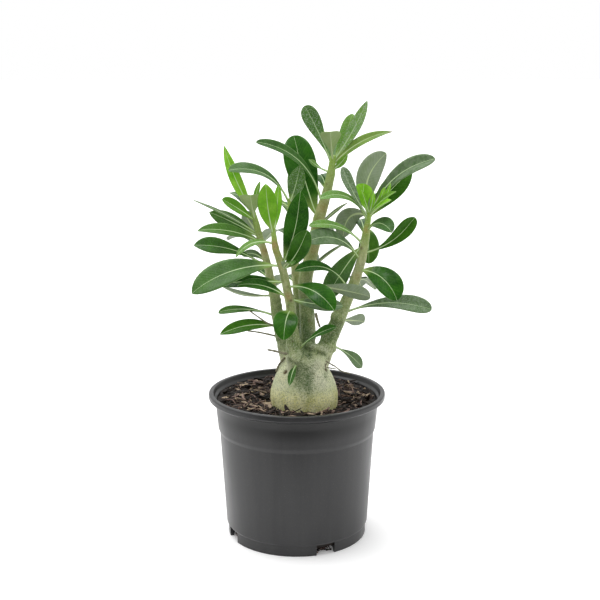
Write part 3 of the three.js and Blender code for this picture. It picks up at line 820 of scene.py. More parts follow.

# A spot of stain or painted light is x, y, z, its size and its strength.  A hole is x, y, z and its
# size.
# Damp stains of algae, and painted shade in the recesses of the forks and under the scars.
DAMP_AND_SHADE = [
    (1.1, -25, 163.2, 5, 0.85), (4.7, -24.3, 165.9, 5, 0.85), (7.4, -25.4, 160.5, 6, 0.8),
    (8.3, -28.4, 153.9, 6, 0.8), (11, -30.5, 148.9, 6, 0.6), (5.6, -26.9, 157.2, 6, 0.75),
    (12, -24.8, 162.1, 5, 0.6), (9, -33, 141, 7, 0.35), (2.9, -28.1, 153.6, 6, 0.5),
    (7.2, 5.9, 186.6, 6, 0.9), (7.6, 4.8, 181.1, 6, 0.95), (9.2, -12.1, 174.9, 5.5, 0.95),
    (11.3, -0.3, 176.3, 5.5, 0.95), (7, -18, 179.5, 4.5, 0.9), (6, -21, 184, 3.5, 0.8),
    (-1, -30, 171, 4, 0.3), (7.4, 0, 184, 8, 0.9), (7, -8, 182, 6, 0.9), (8.5, -14, 178, 5, 0.9),
    (12, -22, 167, 9, 0.3), (-3, -22, 195, 12, 0.3), (38, -6, 198, 9, 0.6), (24, -6, 188, 8, 0.4),
    (-13, 8, 182, 8, 0.4), (-17, 9, 197, 9, 0.3), (-15.5, 6, 222, 6, 0.85), (-15, 5, 214, 6, 0.85),
    (-15, 4, 206, 5, 0.6), (10, 9, 185, 9, 0.4), (5, 9, 205, 6, 0.85), (5.6, 8, 197, 6, 0.85),
    (6.2, 7, 190, 6, 0.85), (9, 7.5, 203.6, 5, 0.6), (9.4, 6.1, 192.3, 5, 0.6),
    (9, 11, 216, 11, 0.75), (9, 12, 232, 10, 0.7), (12, 11, 246, 8, 0.45), (2, 11, 222, 6, 0.8),
    (3, 30, 190, 12, 0.9), (3, 30, 210, 12, 0.7), (26, -6, 187, 6, 0.5), (31, -6, 197, 7, 0.55),
    (35, -6, 206, 7, 0.45), (41, -5, 216, 8, 0.3), (27, 2, 188, 7, 0.7),
    (26.6, -15, 161, 3.5, 0.75), (25.8, -19.5, 157, 3.5, 0.6), (0, 20, 150, 16, 0.5),
    (-20, 10, 150, 12, 0.35), (30, 14, 150, 12, 0.35), (7, 30, 165, 14, 0.6),
]
# Painted highlights on the lit sides of the swollen trunk, on the knob and on the knuckles of the
# forks.
PAINTED_HIGHLIGHTS = [
    (17.5, -26.9, 155.4, 5, 0.45), (21.2, -23.5, 158.1, 5, 0.5), (23, -27.7, 147.9, 6, 0.4),
    (15.7, -22.4, 165.4, 5, 0.45), (19.5, -19.8, 170.4, 4, 0.5), (24, -24.8, 152.8, 5, 0.4),
    (-15, -6, 184, 8, 0.3), (-9.5, -21, 175, 5, 0.45), (-10, -19, 168, 6, 0.4),
    (3.3, -28, 181, 2.4, 0.5), (13, -3.8, 180.4, 3, 0.5), (17.7, -3.3, 181.4, 3, 0.5),
    (22.4, -9.1, 181, 3, 0.55), (27, -9.9, 179, 3, 0.5), (14.1, 9.1, 205, 3, 0.3),
    (14.1, 7.3, 194, 3, 0.3), (15.1, 6.9, 186.4, 3, 0.35), (56, -3, 255, 10, 0.15),
]
RUST = [
    (-12.7, -19.8, 155, 5, 0.15), (-20, -23, 279, 4.5, 0.7), (-18, -24, 271, 4, 0.3),
    (-14, -26, 262, 4, 0.2), (-8, -26, 233, 4, 0.5), (-30, 9, 268, 5, 0.5), (24, 9, 308, 6, 0.4),
    (15, 10, 270, 6, 0.3), (20, 9, 292, 7, 0.35), (63, -1, 290, 4, 0.5), (50, -5, 234, 4, 0.35),
    (56, -4, 247, 4, 0.3),
]
HOLES = [
    (-10.1, -17.4, 160.2, 2.1), (-11.6, -17.4, 159.6, 1.5), (26.4, -12.5, 165, 2.2),
    (26.8, -14, 161.5, 1.7), (24.5, -27, 165, 1.6), (50, -5, 233, 1.8), (-5, -27, 229, 1.5),
    (4, 9.5, 253, 1.8),
]
print("creases:", len(CREASES), "bulges:", len(BULGES), "stains:", len(DAMP_AND_SHADE + PAINTED_HIGHLIGHTS + RUST))

# %% Leaf scars
SCARS_FROM, SCARS_BELOW_TIP = 184, 14
SCAR_TURN = 2.4
TRUNK_SCARS = ((31, 5, 162, 3.2), (-20, 3, 158, 2.6), (8, 27, 158, 3))
TRUNK_SCAR_DEPTH = 0.9

rng = random.Random(12)
scars = []
for points in STEMS.values():
    z, turn = SCARS_FROM + rng.uniform(0, 6), rng.uniform(0, 6.28)
    while z < points[-1][2] - SCARS_BELOW_TIP:
        x, y, _, r = at_height(points, z)
        spot = Vector((x + r * math.cos(turn), y + r * math.sin(turn), z))
        scars.append((spot, rng.uniform(1.1, 1.9), rng.uniform(0.25, 0.8)))
        z += rng.uniform(4.5, 9.5)
        turn += SCAR_TURN
for *spot, size in TRUNK_SCARS:
    scars.append((spot, size, TRUNK_SCAR_DEPTH))
print("leaf scars:", len(scars), "creases:", len(CREASES))

# %% Relief from the marks
places = np.empty(len(wood_mesh.vertices) * 3)
wood_mesh.vertices.foreach_get("co", places)
places = places.reshape(-1, 3)
normals = np.empty(places.size)
wood_mesh.vertex_normals.foreach_get("vector", normals)
in_mm = places / MM


def from_spot(spot):
    """How far each point of the wood is from a spot."""
    return np.linalg.norm(in_mm - np.array(spot), axis=1)


def from_line(line):
    """How far each point of the wood is from a line of spots."""
    nearest = np.full(len(in_mm), 1e9)
    for start, end in zip(line[:-1], line[1:]):
        start, way = np.array(start, float), np.array(end, float) - np.array(start, float)
        share = np.clip(((in_mm - start) @ way) / (way @ way), 0, 1)
        on_line = start + share[:, None] * way
        nearest = np.minimum(nearest, np.linalg.norm(in_mm - on_line, axis=1))
    return nearest


def bell(distance, width=1.0, middle=0.0, power=2):
    """Falls from 1 at the middle to almost nothing two widths away."""
    return np.exp(-((distance - middle) / width) ** power)


SCAR_LIP, SCAR_PIT, SCAR_DARK = 0.32, 0.28, 0.8
HOLE_PIT, HOLE_LIP = 1.2, 0.35
CREASE_LIP, CREASE_SHADE, CREASE_SHADE_MOST = 0.3, 0.42, 0.95

shift = np.zeros(len(places))
scar_share = np.zeros(len(places))
painted_crease_shade = np.zeros(len(places))
for spot, size, depth in scars:
    away = from_spot(spot) / size
    lip = bell(away, 0.35, 1.0)
    shift += (SCAR_LIP * lip - SCAR_PIT * bell(away, 0.75)) * depth
    cork = np.clip(depth * SCAR_DARK * (bell(away, 0.9, power=4) + 0.25 * lip), 0, 1)
    scar_share = np.maximum(scar_share, cork)
for *spot, size in HOLES:
    away = from_spot(spot) / size
    shift -= HOLE_PIT * bell(away) - HOLE_LIP * bell(away, 0.4, 1.3)
    scar_share = np.maximum(scar_share, bell(away, 1.05, power=4))
for line, size, depth in CREASES:
    away = from_line(line) / size
    shift -= depth * bell(away) - CREASE_LIP * bell(away, 0.7, 1.7)
    # Painted shade: each crease is coloured dark, as shade would fall in it.
    shade = min(CREASE_SHADE_MOST, CREASE_SHADE * depth)
    painted_crease_shade = np.maximum(painted_crease_shade, shade * bell(away, 0.95))
for *spot, size, rise in BULGES:
    shift += rise * bell(from_spot(spot) / size)

# %% Relief from noise
FORK_HEIGHT, FORK_REACH = 177, 9
STEMS_FROM = 165
TRUNK_TOP, TRUNK_FADE = 168, 40
BROAD_SIZE, BROAD_RISE = 13.0, 0.5
KNOT_SIZE, KNOT_RISE = 4.2, 0.75
RIDGE_WIDTH, RIDGE_LENGTH, RIDGE_RISE = 3.1, 8.0, 0.3
FINE_SIZE, FINE_RISE = 1.5, 0.1

for i, place_of in enumerate(in_mm):
    spot = Vector(place_of)
    broad = noise.noise(spot / BROAD_SIZE)
    knots = noise.noise(spot / KNOT_SIZE + Vector((5, 1, 9)))
    stretched_spot = (spot.x / RIDGE_WIDTH, spot.y / RIDGE_WIDTH, spot.z / RIDGE_LENGTH)
    ridged = noise.noise(Vector(stretched_spot))
    fine = noise.noise(spot / FINE_SIZE)
    trunk_share = 1.0 if spot.z < TRUNK_TOP else max(0.25, 1 - (spot.z - TRUNK_TOP) / TRUNK_FADE)
    stem_share = 0.3 + 0.7 * (spot.z > STEMS_FROM)
    shift[i] += BROAD_RISE * broad * trunk_share + RIDGE_RISE * ridged * stem_share
    shift[i] += FINE_RISE * fine + KNOT_RISE * knots * bell(spot.z, FORK_REACH, FORK_HEIGHT)
places += normals.reshape(-1, 3) * shift[:, None] * MM
wood_mesh.vertices.foreach_set("co", places.ravel())
print("relief of the bark: %.1f to %.1f mm" % (shift.min(), shift.max()))

# %% Write the marks on the wood
YOUNG_TIP, YOUNG_FADE = 8, 38

youth_share = np.zeros(len(places))
for points in STEMS.values():
    aged = np.clip(1 - (from_spot(points[-1][:3]) - YOUNG_TIP) / YOUNG_FADE, 0, 1)
    youth_share = np.maximum(youth_share, aged ** 1.4)


def stain_and_light_share(stains_and_painted_light):
    """How much each point of the wood is marked by a list of round spots of stain or painted light.
    """
    clean = np.ones(len(in_mm))
    for *spot, size, strength in stains_and_painted_light:
        clean *= 1 - strength * bell(from_spot(spot) / size)
    return 1 - clean


# The damp value also carries the painted shade of the creases.
damp_and_shade_share = np.maximum(stain_and_light_share(DAMP_AND_SHADE), painted_crease_shade)
write_values(wood_mesh, "scar", scar_share)
write_values(wood_mesh, "youth", youth_share)
write_values(
    wood_mesh, "stains_and_painted_light", np.stack([damp_and_shade_share, stain_and_light_share(PAINTED_HIGHLIGHTS), stain_and_light_share(RUST)], axis=1)
)
wood_mesh.update()
finished(wood, "root", "trunk_bark", "trunk")

# %% [markdown]
# ## Dry stalks
#
# Where a leaf has died, its stalk often stays on for weeks as a thin grey-brown stick.  Three of
# them stand out from the lower stems on the left, one has dropped against the trunk, one hangs
# behind the fork on the right, and a forked twig leans out over the mix.  Each is a thin tube
# through a few points, thicker at its foot, and all are in one mesh.

# %% Stalk finish
stalk_finish, tree, shader = new_material("dry_stalk", Specular_IOR_Level=0.3)
weather = clouds(tree, 300.0, 0.6, 0.18)
grit, grit_height = specks(tree, 1400.0, 0.55, 0.08)
colour = layered(
    tree, mixed(tree, weather, (0.14, 0.13, 0.08), (0.27, 0.26, 0.17)),
    (grit, 0.4, (0.42, 0.4, 0.3)),
)
surfaced(tree, shader, colour, stepped(tree, weather, 0, 1, 0.6, 0.8), grit_height, 0.5, 0.0003)
print("stalk finish has", len(tree.nodes), "nodes")

# %% Stalk shapes
TUBE_SIDES, TUBE_STEPS = 8, 16
STALKS = [
    ([(-4, -23, 178), (-12, -23, 179.5), (-20, -19, 180.4), (-27, -16, 181)], 1.0),
    ([(-15, 9, 186.5), (-22, 11, 187.8), (-35, 14, 190), (-47.5, 16, 191.2)], 0.8),
    ([(-15, 9, 196.5), (-25.6, 7, 199.8), (-33, 6.5, 204.5), (-45, 6, 213.3)], 0.75),
    ([(-11, -6, 171), (-16.4, -6, 164), (-19.4, -6, 157.2)], 1.05),
    ([(26.5, -15, 170), (33, -15.5, 166.2), (35, -15, 165), (41, -15, 160.5),
      (49.3, -15, 157.6)], 0.62),
    ([(27.5, -15, 163.9), (32, -15, 163.1), (36, -15, 162.5)], 0.55),
    ([(17.5, 4, 211), (18.4, 3, 207), (19.6, 2, 203), (21.4, 1, 198)], 1.15),
]


def tube(line, radius):
    """A thin round form along a smooth line, a little thicker at its start and knotty."""
    points = [(*p, radius) for p in line]
    last = len(line) - 1.0001
    rings = []
    for i in range(TUBE_STEPS + 1):
        u = (len(line) - 1) * i / TUBE_STEPS
        x, y, z, r = along(points, min(u, last))
        ahead = Vector(along(points, min(u + 0.05, last))[:3])
        tangent = (ahead - Vector(along(points, max(u - 0.05, 0))[:3])).normalized()
        side = tangent.cross(Vector((0.1, 0.3, 1))).normalized()
        closing = 0.5 if i in (0, TUBE_STEPS) else 1
        size = r * (1.25 - 0.45 * i / TUBE_STEPS) * (1 + 0.12 * math.sin(i * 1.9)) * closing
        top = side.cross(tangent)
        rings.append(ring_of(Vector((x, y, z)), side, top, size, turns(TUBE_SIDES)))
    return ring_form(rings)


stalks = new_piece("dry_stalks", *joined([tube(*stalk) for stalk in STALKS]), stalk_finish)
finished(stalks, "root", "trunk_bark")

# %% [markdown]
# ## Leaf finishes
#
# A leaf's two sides differ.  The upper side is dark, waxy green with a cream rib and faint side
# veins.  The under side is a dull grey-green with a strong pale rib.  Young leaves are a bright
# yellow-green.  Each point of a leaf knows its distance along the rib and out from it, so the
# veins can be drawn as lines in real millimetres and keep their shape on a leaf of any length.

# %% Vein group
VEIN_SPACING = 3.6

veins, given, wanted = new_group(
    "leaf_veins",
    {"Along": 0.0, "Out": 0.0, "Share": 0.0, "Spacing": 5.5, "Rib Width": 0.7},
    ("Rib", "Veins", "Quilt"),
)
away = math_node(veins, "ABSOLUTE", given["Out"])
rib_half = times(veins, given["Rib Width"], stepped(veins, given["Share"], 0.0, 1.0, 1.7, 0.3))
rib_mask = stepped(veins, math_node(veins, "DIVIDE", away, rib_half), 0.7, 1.5, 1.0, 0.0)
lag = times(veins, math_node(veins, "POWER", away, 1.15), 0.75)
sweep = math_node(veins, "SUBTRACT", given["Along"], lag)
phase = math_node(veins, "FRACT", math_node(veins, "DIVIDE", sweep, given["Spacing"]))
beat = math_node(veins, "ABSOLUTE", math_node(veins, "SUBTRACT", phase, 0.5))
fading = stepped(veins, away, 1.5, 11.0, 1.0, 0.45)
vein_mask = times(veins, stepped(veins, beat, 0.0, 0.09, 1.0, 0.0), fading)
quilt = times(veins, times(veins, beat, 2.0), stepped(veins, away, 0.6, 2.5))
for value, label in ((rib_mask, "Rib"), (vein_mask, "Veins"), (quilt, "Quilt")):
    wire(veins, value, wanted[label])


def veins_in_tree(tree, rib_width):
    """Places the vein group. Gives rib, veins, quilting and the share of the leaf's length."""
    along_rib, out, share = vector_parts(tree, stored(tree, "leaf_place")["Vector"])
    masks = placed(
        tree, veins, Along=along_rib, Out=out, Share=share, Spacing=VEIN_SPACING,
        Rib_Width=rib_width,
    )
    return (*masks, share)


def kind_in_tree(tree):
    """How young, grey, dusty, glossy and brown the leaf is, and how near its edge a spot is."""
    # Grey is partly the leaf's own colour and partly a painted sheen.
    age, grey_and_sheen, dustiness = vector_parts(tree, stored(tree, "leaf_kind")["Vector"])
    gloss, brown, edge = vector_parts(tree, stored(tree, "leaf_state")["Vector"])
    return age, grey_and_sheen, dustiness, gloss, brown, edge


# %% Upper side
EDGE_BAND = (0.93, 0.99)
PALE_FOOT = (0.3, 0.06)

leaf_upper, tree, shader = new_material(
    "leaf_upper", Specular_IOR_Level=0.1, Coat_Roughness=0.14
)
rib, vein, quilt, share = veins_in_tree(tree, 0.28)
age, grey_and_sheen, dustiness, gloss, brown, edge = kind_in_tree(tree)
blotch = clouds(tree, 60.0)
streaks = clouds(tree, 210.0, 0.5, 0.16)
mottle = clouds(tree, 480.0, 1.0, 0.14)
dust, dust_height = specks(tree, 900.0, 0.54, 0.05)
colour = layered(
    tree, mixed(tree, blotch, (0.008, 0.06, 0.003), (0.026, 0.13, 0.005)),
    # Grey-green streaks: partly the leaf's own grey, partly a painted sheen of the bright surround
    # on leaves that tilt up or away.
    (grey_and_sheen, 1, mixed(tree, streaks, (0.11, 0.165, 0.085), (0.185, 0.245, 0.15))),
    (age, 1, mixed(tree, blotch, (0.21, 0.57, 0.022), (0.4, 0.78, 0.075))),
    (mottle, 0.25, (0.05, 0.16, 0.012)),
    (vein, 0.2, (0.15, 0.34, 0.05)),
    (stepped(tree, edge, *EDGE_BAND, 0.0, 0.55), 1, (0.26, 0.42, 0.14)),
    (stepped(tree, share, *PALE_FOOT, 0.0, 0.85), 1, (0.32, 0.46, 0.12)),
    (rib, 0.94, (0.6, 0.78, 0.42)),
    (stepped(tree, dust, 0, 1, 0.1, 1.0), times(tree, dustiness, 0.6), (0.46, 0.56, 0.42)),
    (brown, stepped(tree, streaks, 0, 1, 1.0, 0.75), (0.24, 0.16, 0.07)),
)
relief = summed(tree, (dust_height, 0.25), (streaks, 0.4), (quilt, 0.22))
surfaced(tree, shader, colour, stepped(tree, blotch, 0, 1, 0.3, 0.42), relief, 0.75, 0.0006)
waxy = stepped(tree, clouds(tree, 85.0, 0.8, 0.12), 0, 1, 0.08, 1.3)
wire(tree, times(tree, gloss, waxy), shader.inputs["Coat Weight"])
print("upper side has", len(tree.nodes), "nodes")

# %% Under side
leaf_under, tree, shader = new_material("leaf_under", Specular_IOR_Level=0.25)
rib, vein, _, _ = veins_in_tree(tree, 0.6)
age, _, _, _, brown, _ = kind_in_tree(tree)
blotch = clouds(tree, 90.0)
streaks = clouds(tree, 260.0, 0.5, 0.16)
colour = layered(
    tree, mixed(tree, blotch, (0.175, 0.24, 0.13), (0.235, 0.3, 0.19)),
    (streaks, 0.4, (0.27, 0.32, 0.25)),
    (age, 1, (0.4, 0.56, 0.15)),
    (vein, 0.4, (0.4, 0.5, 0.28)),
    (rib, 0.9, (0.52, 0.62, 0.33)),
    (brown, 1, (0.22, 0.16, 0.09)),
)
relief = summed(tree, (vein, 1), (streaks, 0.4))
surfaced(tree, shader, colour, stepped(tree, blotch, 0, 1, 0.5, 0.62), relief, 0.4, 0.0004)
print("under side has", len(tree.nodes), "nodes")

# %% [markdown]
# ## The leaves
#
# Each leaf is listed: the height on its stem where it grows out, where its tip is, how
# wide it is, how far its rib arches, which way its upper side looks, how far its halves fold up in
# degrees, its outline, its kind and, on two leaves, how far the rib sways sideways.  A Bezier
# patch or a scanned leaf could be bent to fit instead, but a small formula with these few values
# is easier to match to a picture.

# %% Leaf directions, outlines and kinds
UP = (0, 0, 1)
LEANING = (0, -0.6, 1)
FRONT = (0, -1, 0.25)
FRONT_UP = (0, -1, 1)
BACK = (0, 1, 0.25)
BACK_UP = (0, 1, 1)

# An outline is the share of the length where the leaf is widest, and how its end closes.
BLUNT = (0.66, 0.58)
POINTED = (0.6, 0.8)
SPOON = (0.78, 0.5)
CUP = (0.86, 0.34)
LANCE = (0.5, 0.9)
PADDLE = (0.75, 0.55)
BROAD = (0.66, 0.7)
OVAL = (0.56, 0.62)
OAR = (0.76, 0.9)
WEDGE = (0.68, 0.75)

# A kind is how young, grey, dusty, glossy and brown a leaf is, each from 0 to 1.
# Grey is partly the leaf's own colour and partly a painted sheen.
DEEP = (0.0, 0.0, 0.05, 0.1, 0.0)
GLOSSY = (0.02, 0.0, 0.0, 0.3, 0.0)
LUSH = (0.08, 0.0, 0.0, 0.14, 0.0)
BRIGHT = (0.75, 0.0, 0.0, 0.1, 0.0)
GREEN = (0.06, 0.16, 0.1, 0.08, 0.0)
SHEEN = (0.02, 0.24, 0.1, 0.1, 0.0)
GREY = (0.0, 0.85, 0.02, 0.04, 0.0)
MINT = (0.3, 0.45, 0.35, 0.06, 0.0)
DUSTY = (0.12, 0.08, 0.75, 0.06, 0.0)
MOTTLED = (0.5, 1.0, 1.0, 0.05, 0.0)
FROSTED = (0.1, 0.9, 1.0, 0.05, 0.0)
PALER = (0.5, 1.0, 0.6, 0.03, 0.0)
MEADOW = (0.35, 0.1, 0.0, 0.1, 0.0)
FRESH = (0.8, 0.1, 0.0, 0.08, 0.0)
YOUNG = (1.0, 0.0, 0.0, 0.12, 0.0)
OLIVE = (0.5, 0.45, 0.0, 0.03, 0.0)
MOSS = (0.4, 0.6, 0.1, 0.02, 0.22)
SILVER = (0.0, 0.75, 0.45, 0.15, 0.0)
DRY = (0.0, 1.0, 0.3, 0.0, 0.15)

# %% Leaf list
LEAVES = {
    "right": [
        (303, (125, 4, 353), 18, 0.14, FRONT_UP, 12, PADDLE, GREY),
        (300, (106, 20, 341), 21, 0.05, FRONT, 10, POINTED, LUSH),
        (302, (83, 33, 356), 23, 0.1, BACK, 8, BLUNT, GREY, -0.13),
        (304, (61, 4, 331), 17, -0.08, FRONT, 14, SPOON, YOUNG),
        (301, (40, -14, 347), 11.5, -0.03, FRONT_UP, 10, SPOON, FROSTED),
        (298, (21, -22, 321), 10, 0.2, FRONT_UP, 6, PADDLE, MINT),
        (304, (88, -18, 326), 7, 0.05, FRONT_UP, 18, POINTED, OLIVE),
        (303, (83.5, -22, 319), 8, 0.03, FRONT_UP, 16, POINTED, YOUNG),
        (305, (84, -4, 332.5), 5, -0.12, FRONT, 20, POINTED, YOUNG),
        (305, (78.5, -7, 329), 4.5, -0.08, FRONT, 20, SPOON, YOUNG),
        (305, (58, -9, 326.5), 4, 0, FRONT, 20, POINTED, YOUNG),
        (305, (69, -6, 325), 5, -0.06, FRONT, 20, POINTED, YOUNG),
        (304, (60, 16, 324), 5, -0.06, FRONT, 20, POINTED, YOUNG),
        (289, (84, -28, 291.5), 17, 0.19, FRONT_UP, 8, BLUNT, SHEEN),
        (268, (105.5, -12, 303), 15, -0.1, FRONT, 20, SPOON, LUSH),
        (290, (68, 34, 252), 20, 0.16, FRONT, 8, BLUNT, LUSH),
        (302, (43, 26, 278), 20, 0.28, BACK, 6, BLUNT, GREY),
        (274, (28, 10, 224), 22, 0.03, FRONT_UP, 8, BLUNT, SHEEN),
        (233, (-2, -34, 257), 13, 0.19, FRONT_UP, 10, OAR, DEEP),
        (276, (11, -14, 295), 9.5, 0.14, FRONT_UP, 6, PADDLE, MINT),
        (262, (9, -28, 283), 20, 0.18, FRONT_UP, 4, PADDLE, GREY),
        (200, (22, 0, 196), 8, 0.12, UP, 6, BLUNT, GREEN),
        (252, (90, -28, 230), 26, 0.16, FRONT_UP, 8, BLUNT, GLOSSY),
        (212, (124, -4, 215.5), 18, 0.1, FRONT_UP, 10, SPOON, SILVER),
        (204, (64, 26, 198), 14, 0.02, BACK, 8, SPOON, GREY),
        (181, (62, 20, 154), 13, 0.06, FRONT_UP, 8, OAR, GREY),
        (298, (92, 52, 318), 17, 0.12, UP, 10, POINTED, GREEN),
        (282, (58, 62, 288), 18, 0.14, UP, 8, BLUNT, DEEP),
        (242, (76, 58, 222), 18, 0.08, UP, 8, POINTED, GREEN),
        (234, (62, 54, 226), 17, 0.18, UP, 8, BLUNT, DEEP),
    ],
    "front_left": [
        (260, (-92, -46, 240), 27, 0.1, FRONT_UP, 4, BROAD, SHEEN),
        (245, (-74, -30, 244), 14, 0.03, FRONT_UP, 8, POINTED, DEEP),
        (231, (-52, -40, 246), 12, 0.1, FRONT_UP, 10, POINTED, DEEP),
        (290, (-27, -27, 334), 18, -0.04, FRONT, 12, POINTED, BRIGHT),
        (290, (-16.5, -4, 331), 8.5, -0.06, FRONT, 12, POINTED, FRESH),
        (262, (2.5, -30, 328), 21.5, -0.06, FRONT, 10, POINTED, DEEP),
        (257, (9, -40, 295), 18, -0.06, FRONT, 10, BLUNT, GLOSSY),
        (280, (-54, -34, 270), 7, 0.18, FRONT_UP, 6, POINTED, MINT),
        (241, (33, -48, 224.5), 21, 0.15, FRONT_UP, 8, WEDGE, GLOSSY),
        (219, (-11.5, -50, 198.4), 22, 0.2, FRONT_UP, 6, OVAL, GLOSSY),
        (182, (36, -26, 204.5), 11, 0.075, LEANING, 12, OAR, DEEP),
        (229, (41, -30, 225), 14, -0.03, FRONT_UP, 6, BLUNT, GREY),
        (258, (-4, -47, 266), 12, 0.12, UP, 8, BLUNT, GREEN),
    ],
    "back_left": [
        (306, (-68, 38, 363), 12.5, -0.05, FRONT, 26, LANCE, FRESH),
        (297, (-67, -8, 318), 13, 0.02, FRONT_UP, 10, BLUNT, MEADOW),
        (300, (-41, -20, 323), 21, -0.04, BACK, 10, CUP, OLIVE),
        (306, (-33, 5, 333), 5, 0.05, FRONT, 16, POINTED, OLIVE),
        (284, (-94, 2, 316), 5, 0.03, LEANING, 8, LANCE, GREY),
        (282, (-81, 20, 303), 15, 0.02, FRONT, 10, POINTED, GREEN),
        (277, (-89, -14, 291), 14, 0.07, FRONT_UP, 10, POINTED, GREEN),
        (253, (-94, -2, 275), 19, 0.09, FRONT_UP, 6, OAR, GREEN),
        (258, (-51, 24, 262), 9, 0.16, FRONT_UP, 6, BLUNT, GREY),
        (286, (-49, 24, 303), 14, -0.04, BACK, 10, BLUNT, GREY),
        (226, (-71, 26, 232), 8, -0.08, BACK_UP, 6, POINTED, GREY),
        (207, (-73, 8, 211), 8.5, 0.08, FRONT_UP, 8, SPOON, GREEN),
        (197, (-71, -4, 192), 14, 0.09, FRONT_UP, 8, POINTED, LUSH),
        (300, (-64, 46, 318), 15, 0.12, UP, 10, POINTED, GREEN),
        (268, (-66, 54, 272), 17, 0.14, UP, 8, BLUNT, DEEP),
        (240, (-54, 56, 238), 16, 0.16, UP, 8, POINTED, GREEN),
    ],
    "centre": [
        (350, (7, 14, 400), 16, 0.02, FRONT, 10, SPOON, DUSTY),
        (353, (30, -4, 378), 19, -0.04, BACK, 12, CUP, OLIVE),
        (352, (63, 6, 405), 11, -0.03, FRONT, 12, POINTED, MOTTLED),
        (353, (50, 18, 393), 13, -0.04, FRONT, 16, BLUNT, PALER),
        (348, (85, -4, 378), 11, 0.09, FRONT_UP, 12, LANCE, MOSS),
        (343, (45.5, 0, 358), 7, -0.05, FRONT, 16, POINTED, OLIVE),
        (341, (11, 2, 353), 6, -0.06, FRONT_UP, 8, OAR, MINT),
        (313, (-36, -6, 369), 12, 0.165, FRONT_UP, 10, SPOON, SHEEN),
        (298, (-2.5, 47, 372), 30, 0.02, FRONT, 10, BLUNT, GLOSSY, -0.04),
        (292, (47, 30, 310.7), 4.5, 0.02, LEANING, 8, LANCE, DRY),
        (249, (46, 34, 272), 7, 0.03, UP, 18, LANCE, DRY),
        (235, (66, -26, 233), 15, 0.02, BACK, 6, SPOON, GREY),
        (346, (34, 64, 364), 15, 0.1, UP, 10, POINTED, GREEN),
        (330, (30, 88, 326), 14, 0.08, UP, 8, BLUNT, GREEN),
        (322, (20, 66, 332), 17, 0.12, UP, 8, POINTED, DEEP),
        (280, (30, 76, 268), 18, 0.16, UP, 8, BLUNT, DEEP),
    ],
    "back": [
        (312, (-62, 14, 342), 18, 0.19, LEANING, 8, SPOON, SHEEN),
        (312, (3, 10, 347), 16, -0.04, FRONT, 12, POINTED, DUSTY),
        (313, (12, 64, 322), 14, 0.04, UP, 12, BLUNT, GREY),
        (310, (4, 60, 350), 15, 0.04, UP, 12, POINTED, GREEN),
        (306, (-44, 70, 300), 18, 0.14, UP, 8, BLUNT, GREEN),
        (296, (-12, 92, 300), 19, 0.14, UP, 8, POINTED, DEEP),
        (276, (-32, 86, 266), 18, 0.16, UP, 8, BLUNT, GREEN),
        (256, (18, 84, 240), 18, 0.18, UP, 8, POINTED, DEEP),
        (232, (-20, 80, 222), 16, 0.18, UP, 8, BLUNT, GREEN),
        (206, (8, 72, 196), 13, 0.18, UP, 8, POINTED, GREEN),
    ],
}
print("leaves:", sum(len(rows) for rows in LEAVES.values()) + 1)

# %% Leaf faces
ALONG_STEPS = 26
OUT_STEPS = 6
ROW = 2 * OUT_STEPS + 1


def leaf_faces():
    """The faces that every leaf has, and the finish of each: 0 is the upper side, 1 the under."""
    under = ROW * (ALONG_STEPS + 1)
    faces, sides = [], []
    for i in range(0, ROW * ALONG_STEPS, ROW):
        for a in range(i, i + ROW - 1):
            b, c, d = a + 1, a + 1 + ROW, a + ROW
            faces += [(a, b, c, d), (under + a, under + d, under + c, under + b)]
            sides += [0, 1]
        left, right = i, i + ROW - 1
        faces.append((left, left + ROW, under + left + ROW, under + left))
        faces.append((right, under + right, under + right + ROW, right + ROW))
        sides += [0, 0]
    for foot in range(ROW - 1):
        end = ALONG_STEPS * ROW + foot
        faces.append((foot, under + foot, under + foot + 1, foot + 1))
        faces.append((end, end + 1, under + end + 1, under + end))
        sides += [0, 0]
    return faces, sides


LEAF_FACES, LEAF_SIDES = leaf_faces()
print("one leaf has", len(LEAF_FACES), "faces")

# %% Leaf builder
BLADE = 0.5
PETIOLE_HALF_WIDTH = 1.1
PETIOLE_SHARE = 0.16
NARROWEST = 0.25
BROWN_FROM = 0.93
CURL_FROM, CURL_RATE = 0.8, 12
RIPPLE_RATE, OTHER_HALF = 11, 1.7
CROWDING = 1.35
RIB_WIDTH, RIB_ABOVE, RIB_BELOW, RIB_TAPER = 0.9, 0.1, 0.75, 0.45
FOOT_ABOVE, FOOT_BELOW = 0.35, 0.6
GROOVE_OUT, GROOVE_WIDTH, GROOVE_DEPTH = 1.5, 0.7, 0.32


def leaf_outline(t, shape):
    """Half the width of a leaf at a share t of its length, for a leaf one unit wide."""
    widest, end = shape
    wedge = (widest / (1 - widest)) * end
    return 0.5 * (t / widest) ** wedge * (max(1 - t, 0) / (1 - widest)) ** end


